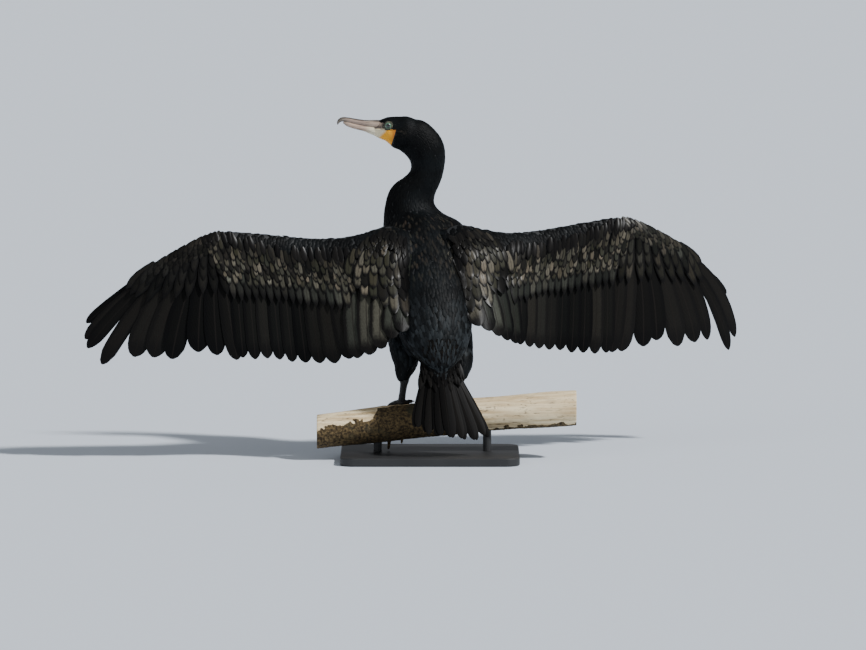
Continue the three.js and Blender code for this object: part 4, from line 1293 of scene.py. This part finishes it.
# The tail: a fan of stiff feathers, the middle pair on top, under rows of coverts
tail = {
    "root": (-70, 178),
    "slope": 70,
    "length": 142,
    "halfSpread": 20.2,
    "turn": 3.2,
    "rounding": 0.055,
    "lean": 0.095,
    "pairs": 7,
    "width": 21,
    "pairing": 1.1,  # how far neighbours turn towards each other, in degrees
    "coverts": [(54, -4, 15), (42, -12, 14), (30, -20, 13), (18, -28, 12)],  # reach, root, width
    "covertSpread": 18,
    "clearance": 1.4,
}


def tailPlace(p, q, h):
    slope = math.radians(tail["slope"])
    down = np.array((0, -math.cos(slope), -math.sin(slope)))
    back = np.array((0, -math.sin(slope), math.cos(slope)))
    root = np.array((0, *tail["root"]), float)
    return root + p[..., None] * rightWay + q[..., None] * down + h[..., None] * back


def buildTail(paints):
    number = 2 * tail["pairs"]
    level = np.arange(number)
    share = np.where(level % 2, 1, -1) * (level // 2 + 0.5) / (tail["pairs"] - 0.5)
    pairing = tail["pairing"] * np.where(np.argsort(np.argsort(share)) % 2, -1, 1)
    angle = np.radians(tail["turn"] + share * tail["halfSpread"] + pairing)
    facing = np.array((0.0, -1, 0.3))

    def fan(reach, rootHalf=14, first=-4):
        start = stacked(share * rootHalf, first)
        return start, stacked(start[:, 0] * 1.3 + np.sin(angle) * reach, np.cos(angle) * reach)

    shape = 1 - tail["rounding"] * share**2 + tail["lean"] * share
    start, end = fan(tail["length"] * shape + draws.uniform(-5, 0, number))
    lift = 1 - 0.95 * level
    sheet = flatVanes(longVane, tailPlace, start, end, 0, tail["width"] - 3, 0.0, lift, lift, ragged=0.1)
    quills = Coat("rectrices")
    spots, tint = stacked((level + 0.5) / number, 0.5), tintOf(number, 0.012, 0.5)
    addVanes(quills, longVane, sheet, facing, tint, spots, (0.8 / number, 0.92))
    quills.finish(paints["rectrices"], "flight_feathers", "tail")
    cover = Coat("tail_coverts")
    for row, (reach, first, width) in enumerate(tail["coverts"]):
        reach = reach * (1 - 0.12 * share**2) + draws.uniform(-9, 7, number)
        start, end = fan(reach, tail["covertSpread"], first)
        spots = stacked(0.5 + share * 0.3, 0.15 + 0.2 * row)
        over, under = 1.8 + 1.6 * row - 0.45 * level, -9.5 - 1.2 * row
        for side, low, high, bronze in ((1, over - 1, over, 0.03), (-1, under, under - 1, 0.05)):
            curl = 0.6 * side
            sheet = flatVanes(shortVane, tailPlace, start, end, 0, width, 0, low, high, curl=curl)
            sheet, tint = liftedOff(sheet, tail["clearance"]), tintOf(number, bronze, 0.3)
            addVanes(cover, shortVane, sheet, side * facing, tint, spots, (0.02, 0.02))
            spots = spots + (0, 0.1)
    cover.finish(paints["rectrices"], "plumage", "tail")


paints["remiges"] = vanePaint("remiges", 0.06, 0.05, 0.1)
paints["rectrices"] = vanePaint("rectrices", 0.05, 0.025, 0.2)
paints["coverts"] = vanePaint("coverts", 0.16, 0.07, 0.3)
for wingSide in wingSides:
    buildWing(wingSide, paints)
buildTail(paints)
print("wings and tail feathered")

# The bill, in two halves along its bent middle line: forward, height, half height, half width
bill = {
    "around": 40,
    "steps": {"upper": 70, "lower": 56},
    "upper": [
        (10, 0, 8.4, 9), (24, 1.2, 7.3, 8.2), (40, 2.8, 5.7, 6.4), (56, 6, 4.7, 5.4),
        (68, 8.6, 4.2, 4.8), (76, 9.8, 3.9, 4.2), (81.5, 8.2, 3.3, 3.2), (84.6, 4.6, 2.2, 2),
        (85.4, 0.8, 0.7, 0.8),
    ],
    "lower": [
        (10, -10.6, 10, 9.6), (24, -8.6, 8.7, 8.4), (40, -5, 5.8, 6.2),
        (56, -1.6, 5.2, 5.1), (68, 2, 4.4, 4.3), (76, 4.8, 1.8, 2.8),
    ],
    "plates": (0.35, (52, 128)),  # depth of the grooves beside the ridge, and their turns
    "ridge": 0.35,
    "crease": 0.5,
}


def buildBill(paints):
    around, turn = bill["around"], circle(bill["around"])
    for half, steps in bill["steps"].items():
        forward = finer(bill[half], steps)[:, 0]
        rings = headRings(bill[half], 0, steps, around)
        out = unit(rings - rings.mean(1, keepdims=True))
        if half == "upper":
            depth, turns = bill["plates"]
            groove = -depth * sum(hill(turn, math.radians(at), 0.13) for at in turns)
            ridge = bill["ridge"] * hill(turn, math.pi / 2, 0.3)
            fade = (1 - smoothStep(forward, 66, 76))[:, None, None]
            rings = rings + out * (groove + ridge)[None, :, None] * fade
        else:  # the lower half closes against the upper one
            flat = toHead(rings)
            topRows = np.array(bill["upper"])
            heightAt, highAt, wideAt = [
                np.interp(flat[..., 1], topRows[:, 0], topRows[:, i]) for i in (1, 2, 3)
            ]
            inner = np.clip(1 - (flat[..., 0] / (wideAt + 0.05)) ** 2, 0, 1)
            limit = heightAt - highAt * np.sqrt(inner) - 0.12
            flat[..., 2] = np.where(inner > 0, np.minimum(flat[..., 2], limit), flat[..., 2])
            crease = bill["crease"] * hill(turn, math.radians(270), 0.22)
            flat[..., 2] += crease * (1 - smoothStep(forward, 50, 70))[:, None]
            rings = inHead(flat)
        points, quads = closedTube(rings)
        mesh = meshFrom("bill_" + half, points, quads)
        lie = stacked(np.cos(turn)[None], forward[:, None], np.sin(turn)[None])
        ends = np.repeat([[0, forward[0], 0], [0, forward[-1], 0]], around, axis=0)
        setValues(mesh, "lie", np.concatenate([lie.reshape(-1, 3), ends]))
        pieceOf(mesh, paints["bill_" + half], "bill", "bill_" + half)


# The eyes, with their lids drawn over them from the skin
eyes = {
    "ball": 7.0,
    "middle": 14.0,
    "bulge": 0.45,
    "opening": (5.3, 5.0),
    "lidReach": 8.8,
    "lidRoot": 16,
    "puff": 0.85,
    "lidDepth": 1.1,
    "beads": (26, 0.1),  # how many along the rim, and their height
}


def buildEyeball(name, side, paint):
    polar, turn = np.linspace(0.03, math.pi - 0.03, 34), side * circle(36)
    radius = eyes["ball"] + eyes["bulge"] * (1 - smoothStep(polar, 0.3, 0.95))
    x = side * (eyes["middle"] + radius * np.cos(polar))
    flat = (radius * np.sin(polar))[:, None]
    rings = stacked(x[:, None], flat * np.cos(turn), flat * np.sin(turn))
    points, quads = closedTube(inHead(rings)[::-1])
    mesh = meshFrom("eyeball_" + name, points, quads)
    x, forward, up = (toHead(points) - (side * eyes["middle"], 0, 0)).T
    setValues(mesh, "polar", np.arctan2(np.hypot(forward, up), side * x))
    setValues(mesh, "turn", np.arctan2(up, forward))
    pieceOf(mesh, paint, "eye", "eye_" + name)


def buildLids(name, side, paint):
    around = circle(60)
    cos, sin = np.cos(around), np.sin(around)
    foreHalf, upHalf = eyes["opening"]
    forward, up = foreHalf * (1 + 0.08 * abs(cos) ** 3) * cos, upHalf * sin
    onBall = np.sqrt(eyes["ball"] ** 2 - forward**2 - up**2)
    inner = stacked(side * (eyes["middle"] + onBall + 0.1), forward, up)
    outer = stacked(side * eyes["lidRoot"], eyes["lidReach"] * cos, eyes["lidReach"] * sin)
    outer, out = onSkin(inHead(outer))
    outer = toHead(outer - out * 0.35)
    top = np.linspace(0, 1, 9)
    beads, height = eyes["beads"]
    bead = height * np.sin(beads * around)[:, None] * hill(top, 0.22, 0.13)
    puff = eyes["puff"] * np.sin(math.pi * top) ** 0.8 * (1 - 0.45 * top) + bead
    band = lerp(inner[:, None], outer[:, None], top[None, :, None])
    outward = unit(band - (side * eyes["middle"] * 0.5, 0, 0))
    upper = band + outward * puff[..., None]
    under = (band - outward * eyes["lidDepth"])[:, ::-1]
    ring = np.concatenate([upper, under], 1)
    count, loop = ring.shape[:2]
    points = inHead(ring).reshape(-1, 3)
    k, j = np.meshgrid(np.arange(count), np.arange(loop), indexing="ij")
    a, b = k * loop + j, k * loop + (j + 1) % loop
    c, d = (k + 1) % count * loop + (j + 1) % loop, (k + 1) % count * loop + j
    quads = stacked(*((a, b, c, d) if side > 0 else (d, c, b, a))).reshape(-1, 4)
    pieceOf(meshFrom("eyelids_" + name, points, quads), paint, "leg_skin")


# The branch, in the whole's frame
branch = {
    "ends": (-190, 246),
    "middle": (68.3, 0.094, 0.00007),
    "bend": (5, 130),
    "radius": 30,
    "knots": 1.1,
    "peeled": -88,  # the rounded end of the bare wood on its left part
    "bark": 0.9,  # how far the bark stands over the bare wood
    "edges": (2.5, 1.25, 0.15),  # turn from the top where bark starts: right, left and by the feet
    "wood": -1.0,  # how far the bare wood lies under the plain form
    "room": (0.35, 0.2),  # how high it may stand at the top, and underneath
    "bevel": (0.985, 0.995, 1.0),
    "twigs": [(-68, 2.9, 15, 4, 1.0), (-46, 3.3, 6, 3, 1.0), (126, 2.7, 5, 4.5, 0.0)],
}  # twigs: where along, turn, length, radius, bark


def branchRadius(x):
    return branch["radius"] + branch["knots"] * np.sin(x / 31 + 1) * np.sin(x / 83)


def branchPoint(x, turn, h):  # a place on the branch: along it, about it from the top, and over it
    lift, slope, sag = branch["middle"]
    back, wave = branch["bend"]
    reach = branchRadius(x) + h
    y = back * np.sin(x / wave) + reach * np.sin(turn)
    return stacked(x, y, lift + slope * x - sag * x * x + reach * np.cos(turn))


def noiseAt(points, octaves):
    values = [noise.fractal(Vector(p), 0.9, 2.1, octaves) for p in points.reshape(-1, 3)]
    return np.array(values).reshape(points.shape[:-1])


def barkEdge(x, fromTop, broad, small):  # how far from the top the bare wood ends
    right, left, byFeet = branch["edges"]
    right = right + 0.3 * broad + 0.2 * small
    left = left + 0.34 * broad + 0.22 * small
    byFeet = byFeet + 0.4 * broad
    middle = smoothStep(x, -98, -88) * (1 - smoothStep(x, 12, 44))
    edge = lerp(lerp(right, left, smoothStep(-x, 30, 60)), byFeet, middle)
    peeled = branch["peeled"]
    rounded = np.hypot((x - peeled + 22) / 22, (fromTop - 0.25) / 1.0)
    return np.where((x > -112) & (x < peeled + 2) & (rounded < 1), np.maximum(edge, 1.35), edge)


def buildPerch(paints):
    x = np.linspace(*branch["ends"], 330)[:, None]
    turn = circle(150)[None]
    fromTop = np.minimum(turn, 2 * math.pi - turn)
    plain = branchPoint(x, turn, 0)
    broad, small = noiseAt(plain / 34, 3), noiseAt(plain / 9, 4)
    grain = noiseAt(plain * (0.012, 0.16, 0.16), 3)
    bark = smoothStep(fromTop - barkEdge(x, fromTop, broad, small), -0.035, 0.035)
    cracks = np.clip(abs(grain) * 9, 0, 1)
    wood = branch["wood"] + 0.25 * broad - 0.35 * (1 - cracks) + 0.12 * small
    rind = branch["wood"] + branch["bark"] + 0.55 * small + 0.5 * noiseAt(plain / 4, 2)
    topRoom, lowRoom = branch["room"]
    h = np.minimum(lerp(wood, rind, bark), topRoom)
    h = np.where(fromTop > 1.9, np.minimum(h, lowRoom), h)
    rings = branchPoint(x, turn, h)
    for i, share in enumerate(branch["bevel"]):
        for end in (i, -1 - i):
            centre = rings[end].mean(0)
            rings[end] = centre + (rings[end] - centre) * share
    points, quads = closedTube(rings[:, ::-1])
    mesh = meshFrom("branch", points, quads, whole=True)
    caps = len(points) - rings.shape[0] * rings.shape[1]
    # bark, cracks, and 1 on the two cut faces
    marks = stacked(bark[:, ::-1], cracks[:, ::-1], 0 * bark).reshape(-1, 3)
    marks = np.concatenate([marks, np.tile((0.0, 1, 1), (caps, 1))])
    setValues(mesh, "wood", marks)
    pieceOf(mesh, paints["driftwood"], "driftwood", "perch")
    for number, (at, about, length, radius, covered) in enumerate(branch["twigs"]):
        t = np.linspace(0, 1, 9)
        line = branchPoint(at - 2 * t, about, lerp(-6, length, t))
        size = radius * (1 - 0.62 * t**1.2) * (1 + 0.08 * np.sin(9 * t + number))
        points, quads = closedTube(tubeRings(line, rightWay, size, size * 0.9, 16))
        mesh = meshFrom("twig_" + str(number + 1), points, quads, whole=True)
        setValues(mesh, "wood", np.tile((covered, 1, 0), (len(points), 1)))
        pieceOf(mesh, paints["driftwood"], "driftwood")


# Legs and feet: four webbed toes over the branch
feet = {
    "shank": [
        (-0.04, 7.6, 8.2), (0.1, 7.8, 8.6), (0.28, 6.2, 7.6),
        (0.6, 5.6, 7), (0.86, 6, 7), (1.04, 6.2, 6.4),
    ],  # share of the way down, half width, half depth
    "scutes": 0.035,
    "toes": [(34, 66, 3.9), (6, 60, 4), (-22, 43, 3.7), (-78, 25, 3.2)],
    "toeShares": [(-0.06, 0.9), (0.2, 1.0), (0.5, 0.92), (0.84, 0.92), (1, 0.66)],
    "knuckles": [(0.34, 0.05), (0.66, 0.05), (0.9, 0.04)],
    "ridges": 0.03,
    "palm": (7.6, 8.7, 5.4),
    "web": 0.9,
}  # toes: turn from forwards to the outside, length, radius


def buildLeg(leg, paints):
    heel = turned(np.array(leg["foot"]), yaw)

    def spot(turn, reach, h):  # a place on the branch by the foot, in the bird's frame
        angle = np.radians(turn) * leg["side"]
        x = heel[0] + np.sin(angle) * reach - math.sin(yaw) * np.maximum(reach, 0)
        return turned(branchPoint(x, np.cos(angle) * reach / branch["radius"], h), -yaw)

    ankle, foot = np.array(leg["ankle"], float), np.array(leg["foot"], float)
    t, a, b = finer(feet["shank"], 60).T
    scutes = 1 + feet["scutes"] * (np.arange(61) * 0.4 % 1 - 0.5)
    line = ankle + (foot - ankle) * t[:, None]
    parts = [closedTube(tubeRings(line, rightWay, a * scutes, b * scutes, 22))]
    claws = []
    for turn, length, radius in feet["toes"]:
        across = rightWay if abs(turn) < 60 else forwardWay
        share = np.linspace(-0.06, 1, 56)
        knuckles = 1 + 0.09 * sum(hill(share, at, width) for at, width in feet["knuckles"])
        ridged = 1 + feet["ridges"] * (np.arange(56) * 0.37 % 1 - 0.5)
        size = radius * through(feet["toeShares"], 1)(share) * knuckles * ridged
        line = spot(turn, share * length, size * 0.92 + 0.25)
        parts.append(closedTube(tubeRings(line, across, size, size, 18)))
        t = np.linspace(0, 1, 16)
        reach = length * (0.95 + 0.25 * t)
        rise = radius * (0.75 + 0.55 * t - 1.05 * t**2) + 0.5
        size = radius * (0.5 * (1 - t) ** 0.7 + 0.05)
        line = spot(turn, reach, rise)
        claws.append(closedTube(tubeRings(line, across, size * 0.8, size, 14)))
    polar, around = np.linspace(0.05, math.pi - 0.05, 16)[:, None], circle(22)
    wide, deep, high = feet["palm"]
    flat = np.sin(polar)
    palm = stacked(flat * np.cos(around) * wide, flat * np.sin(around) * deep, -np.cos(polar) * high)
    parts.append(closedTube(palm + foot - (0, 0, 1)))
    name = leg["name"]
    skin = meshFrom("foot_skin_" + name, *joined(parts))
    pieceOf(skin, paints["legSkin"], "leg_skin", "foot_" + name, "shank_" + name)
    pieceOf(meshFrom("claws_" + name, *joined(claws)), paints["claw"], "leg_skin")
    webs = Coat("webs_" + name)
    rows, columns = np.linspace(0.06, 1, 14), np.linspace(-1, 1, 13)
    thick = np.full((len(rows), len(columns)), feet["web"])
    tint, corner = np.zeros((1, 3)), np.array([[0.5, 0.5]])
    for (outerTurn, outerLength, _), (innerTurn, innerLength, _) in zip(feet["toes"], feet["toes"][1:]):
        v = (columns[None] + 1) / 2
        turn = lerp(outerTurn, innerTurn, v)
        hollow = 1 - 0.2 * np.sin(math.pi * v) * rows[:, None]
        reach = lerp(outerLength, innerLength, v) * 0.94 * rows[:, None] * hollow
        ripple = 0.35 * np.sin(math.pi * v * 5) * rows[:, None]
        sheet = spot(turn + 0 * reach, reach, 2.2 + ripple)[None]
        facing = spot(turn[:, 6], reach[7, 6], 6)[0] - spot(turn[:, 6], reach[7, 6], 2)[0]
        webs.add(sheet, facing[None], thick, columns, rows, tint, corner, (0.3, 0.3))
    webs.finish(paints["legSkin"], "leg_skin", "foot_" + name)


def billPaint(name, base, middle, tip, top, below=0.0):
    paint = Paint(name, Specular_IOR_Level=0.5)
    forward, height = paint.value("lie", 1), paint.value("lie", 2)
    streak = paint.noise(1.0, 6.0, paint.stretched((45, 420, 420)), 0.62)
    blotch = paint.noise(130.0, 3.0)
    colour = paint.mix((forward + blotch * 8 - 4).ramp(26, 42), base, middle)
    byPouch = (forward + 8.8 * height + blotch * 3).ramp(9, 2) * below
    colour = paint.mix(byPouch, colour, (0.82, 0.42, 0.02))
    colour = paint.mix((forward + blotch * 6 - 3).ramp(62, 80), colour, tip)
    colour = paint.mix((height + (streak - 0.5) * 0.7).ramp(0.5, 0.92), colour, top)
    colour = paint.mix(streak.ramp(0.48, 0.72) * 0.65, colour, (0.085, 0.062, 0.05))
    colour = paint.mix((1 - streak).ramp(0.52, 0.72) * 0.4, colour, (0.66, 0.56, 0.45))
    return paint.feed(
        Base_Color=colour,
        Roughness=0.34 + 0.2 * streak,
        Normal=paint.bump(streak + blotch, 0.25, 0.0003),
    )


def eyePaint():
    paint = Paint("eye", Coat_Weight=1.0, Coat_Roughness=0.03, Roughness=0.25)
    polar = paint.value("polar")
    turn = paint.value("turn")
    spokes = (turn * 37).math("SINE") * 0.5 + 0.5
    flecks = paint.noise(900.0, 3.0)
    iris = paint.mix(spokes * flecks, (0.008, 0.05, 0.028), (0.07, 0.21, 0.12))
    iris = paint.mix(polar.ramp(0.6, 0.8), iris, (0.17, 0.27, 0.17))
    colour = paint.mix((polar + flecks * 0.03).ramp(0.44, 0.475), (0.002, 0.002, 0.002), iris)
    colour = paint.mix(polar.ramp(0.8, 0.86), colour, (0.01, 0.014, 0.013))
    return paint.feed(Base_Color=colour)


def hidePaint(name, dark, light, scale, roughness):  # scaled, leathery skin
    paint = Paint(name, Specular_IOR_Level=0.45)
    seams = paint.cells(scale, {"feature": "DISTANCE_TO_EDGE"}).ramp(0.0, 0.12)
    dust = paint.noise(210.0, 4.0)
    colour = paint.mix(dust.ramp(0.45, 0.75), dark, light)
    colour = paint.mix(1 - seams, colour, tuple(0.5 * c for c in dark))
    return paint.feed(
        Base_Color=colour,
        Roughness=roughness - 0.14 * dust + 0.08 * seams,
        Normal=paint.bump(seams, 0.6, 0.0006),
    )


def driftwoodPaint():
    paint = Paint("driftwood", Specular_IOR_Level=0.3)
    bark, cracks, cut = [paint.value("wood", i) for i in range(3)]
    grain = paint.noise(1.0, 6.0, paint.stretched((9, 130, 130)), 0.65)
    broad, fine = paint.noise(22.0, 4.0), paint.noise(240.0, 5.0, roughness=0.65)
    bare = paint.mix(grain.ramp(0.3, 0.72), (0.5, 0.36, 0.19), (0.9, 0.76, 0.5))
    bare = paint.mix(broad.ramp(0.56, 0.72) * 0.4, bare, (0.33, 0.25, 0.16))
    bare = paint.mix((1 - cracks.ramp(0.0, 0.55)) * 0.75, bare, (0.11, 0.07, 0.04))
    specks = paint.noise(70.0, 2.0).ramp(0.66, 0.74)
    bare = paint.mix(specks * 0.5, bare, (0.16, 0.11, 0.07))
    rind = paint.mix(fine.ramp(0.36, 0.7), (0.024, 0.016, 0.009), (0.17, 0.118, 0.052))
    rind = paint.mix(broad.ramp(0.52, 0.68) * 0.8, rind, (0.045, 0.046, 0.028))
    colour = paint.mix((bark + (fine - 0.5) * 0.35).ramp(0.35, 0.65), bare, rind)
    height = grain * 0.6 + fine * (0.25 + bark)
    return paint.feed(
        Base_Color=colour,
        Roughness=0.72 + 0.2 * bark - 0.1 * cut,
        Normal=paint.bump(height, 0.55, 0.0009),
    )


def standPaint():
    paint = Paint("stand", Specular_IOR_Level=0.45)
    grit, smear = paint.noise(1400.0, 2.0), paint.noise(16.0, 4.0)
    colour = paint.mix(smear, (0.012, 0.0125, 0.0135), (0.021, 0.0215, 0.023))
    return paint.feed(
        Base_Color=colour,
        Roughness=0.42 + 0.16 * smear + 0.08 * grit,
        Normal=paint.bump(grit, 0.18, 0.0002),
    )


paints["bill_upper"] = billPaint(
    "bill_upper", (0.34, 0.26, 0.2), (0.3, 0.22, 0.175), (0.1, 0.085, 0.07), (0.05, 0.043, 0.037)
)
paints["bill_lower"] = billPaint(
    "bill_lower", (0.78, 0.7, 0.5), (0.46, 0.33, 0.25), (0.2, 0.15, 0.12), (0.4, 0.3, 0.22), 1.0
)
paints["eye"] = eyePaint()
paints["lid"] = hidePaint("lid", (0.04, 0.042, 0.026), (0.2, 0.205, 0.12), 1500.0, 0.6)
paints["legSkin"] = hidePaint("leg_skin", (0.0075, 0.0075, 0.008), (0.024, 0.023, 0.022), 620.0, 0.58)
paints["claw"] = hidePaint("claw", (0.012, 0.01, 0.009), (0.05, 0.042, 0.034), 200.0, 0.4)
paints["driftwood"] = driftwoodPaint()
paints["stand"] = standPaint()
buildBill(paints)
for name, side in (("left", -1), ("right", 1)):
    buildEyeball(name, side, paints["eye"])
    buildLids(name, side, paints["lid"])
for leg in legs:
    buildLeg(leg, paints)
buildPerch(paints)
for node in ("stand_base", "stand_rod_1", "stand_rod_2"):
    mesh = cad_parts[node].data
    mesh.materials.clear()
    mesh.materials.append(paints["stand"])
print("bill, eyes, feet, branch and stand made")

camera = {"target": (0.005, 0, 0.227), "distance": 12.0, "elevation": math.radians(5), "lens": 297.0}
studio = {
    "sky": (0.86, 0.9, 0.96, 1),
    "skyStrength": 0.34,
    "suns": [("key", (-1.1, 0.72, -1.2), 4.6, 5), ("fill", (0.9, 0.8, -0.5), 0.4, 40)],
    "floor": 70,  # half its side, in metres
    "floorColour": (0.66, 0.72, 0.8, 1),
}  # suns: name, way, energy, angle in degrees


def aim(made, way):
    made.rotation_euler = Vector(way).to_track_quat("-Z", "Y").to_euler()


def addCamera():
    data = bpy.data.cameras.new("camera")
    data.lens = camera["lens"]
    data.clip_end = 200
    made = added("camera", data)
    back = Vector((0, -math.cos(camera["elevation"]), math.sin(camera["elevation"])))
    made.location = Vector(camera["target"]) + back * camera["distance"]
    aim(made, -back)
    bpy.context.scene.camera = made


def addLights():
    world = bpy.data.worlds.new("studio")
    world.use_nodes = True
    inputs = world.node_tree.nodes["Background"].inputs
    inputs["Color"].default_value = studio["sky"]
    inputs["Strength"].default_value = studio["skyStrength"]
    bpy.context.scene.world = world
    for name, way, energy, angle in studio["suns"]:
        data = bpy.data.lights.new(name, "SUN")
        data.energy = energy
        data.angle = math.radians(angle)
        aim(added(name, data), way)


def addFloor():
    mesh, far = bpy.data.meshes.new("floor"), studio["floor"]
    corners = [(-far, -far, 0), (far, -far, 0), (far, far, 0), (-far, far, 0)]
    mesh.from_pydata(corners, [], [(0, 1, 2, 3)])
    floor = added("floor", mesh)
    mesh.materials.append(Paint("floor", Roughness=0.8).feed(Base_Color=studio["floorColour"]))


addCamera()
addLights()
addFloor()
print("camera, lights and floor set")
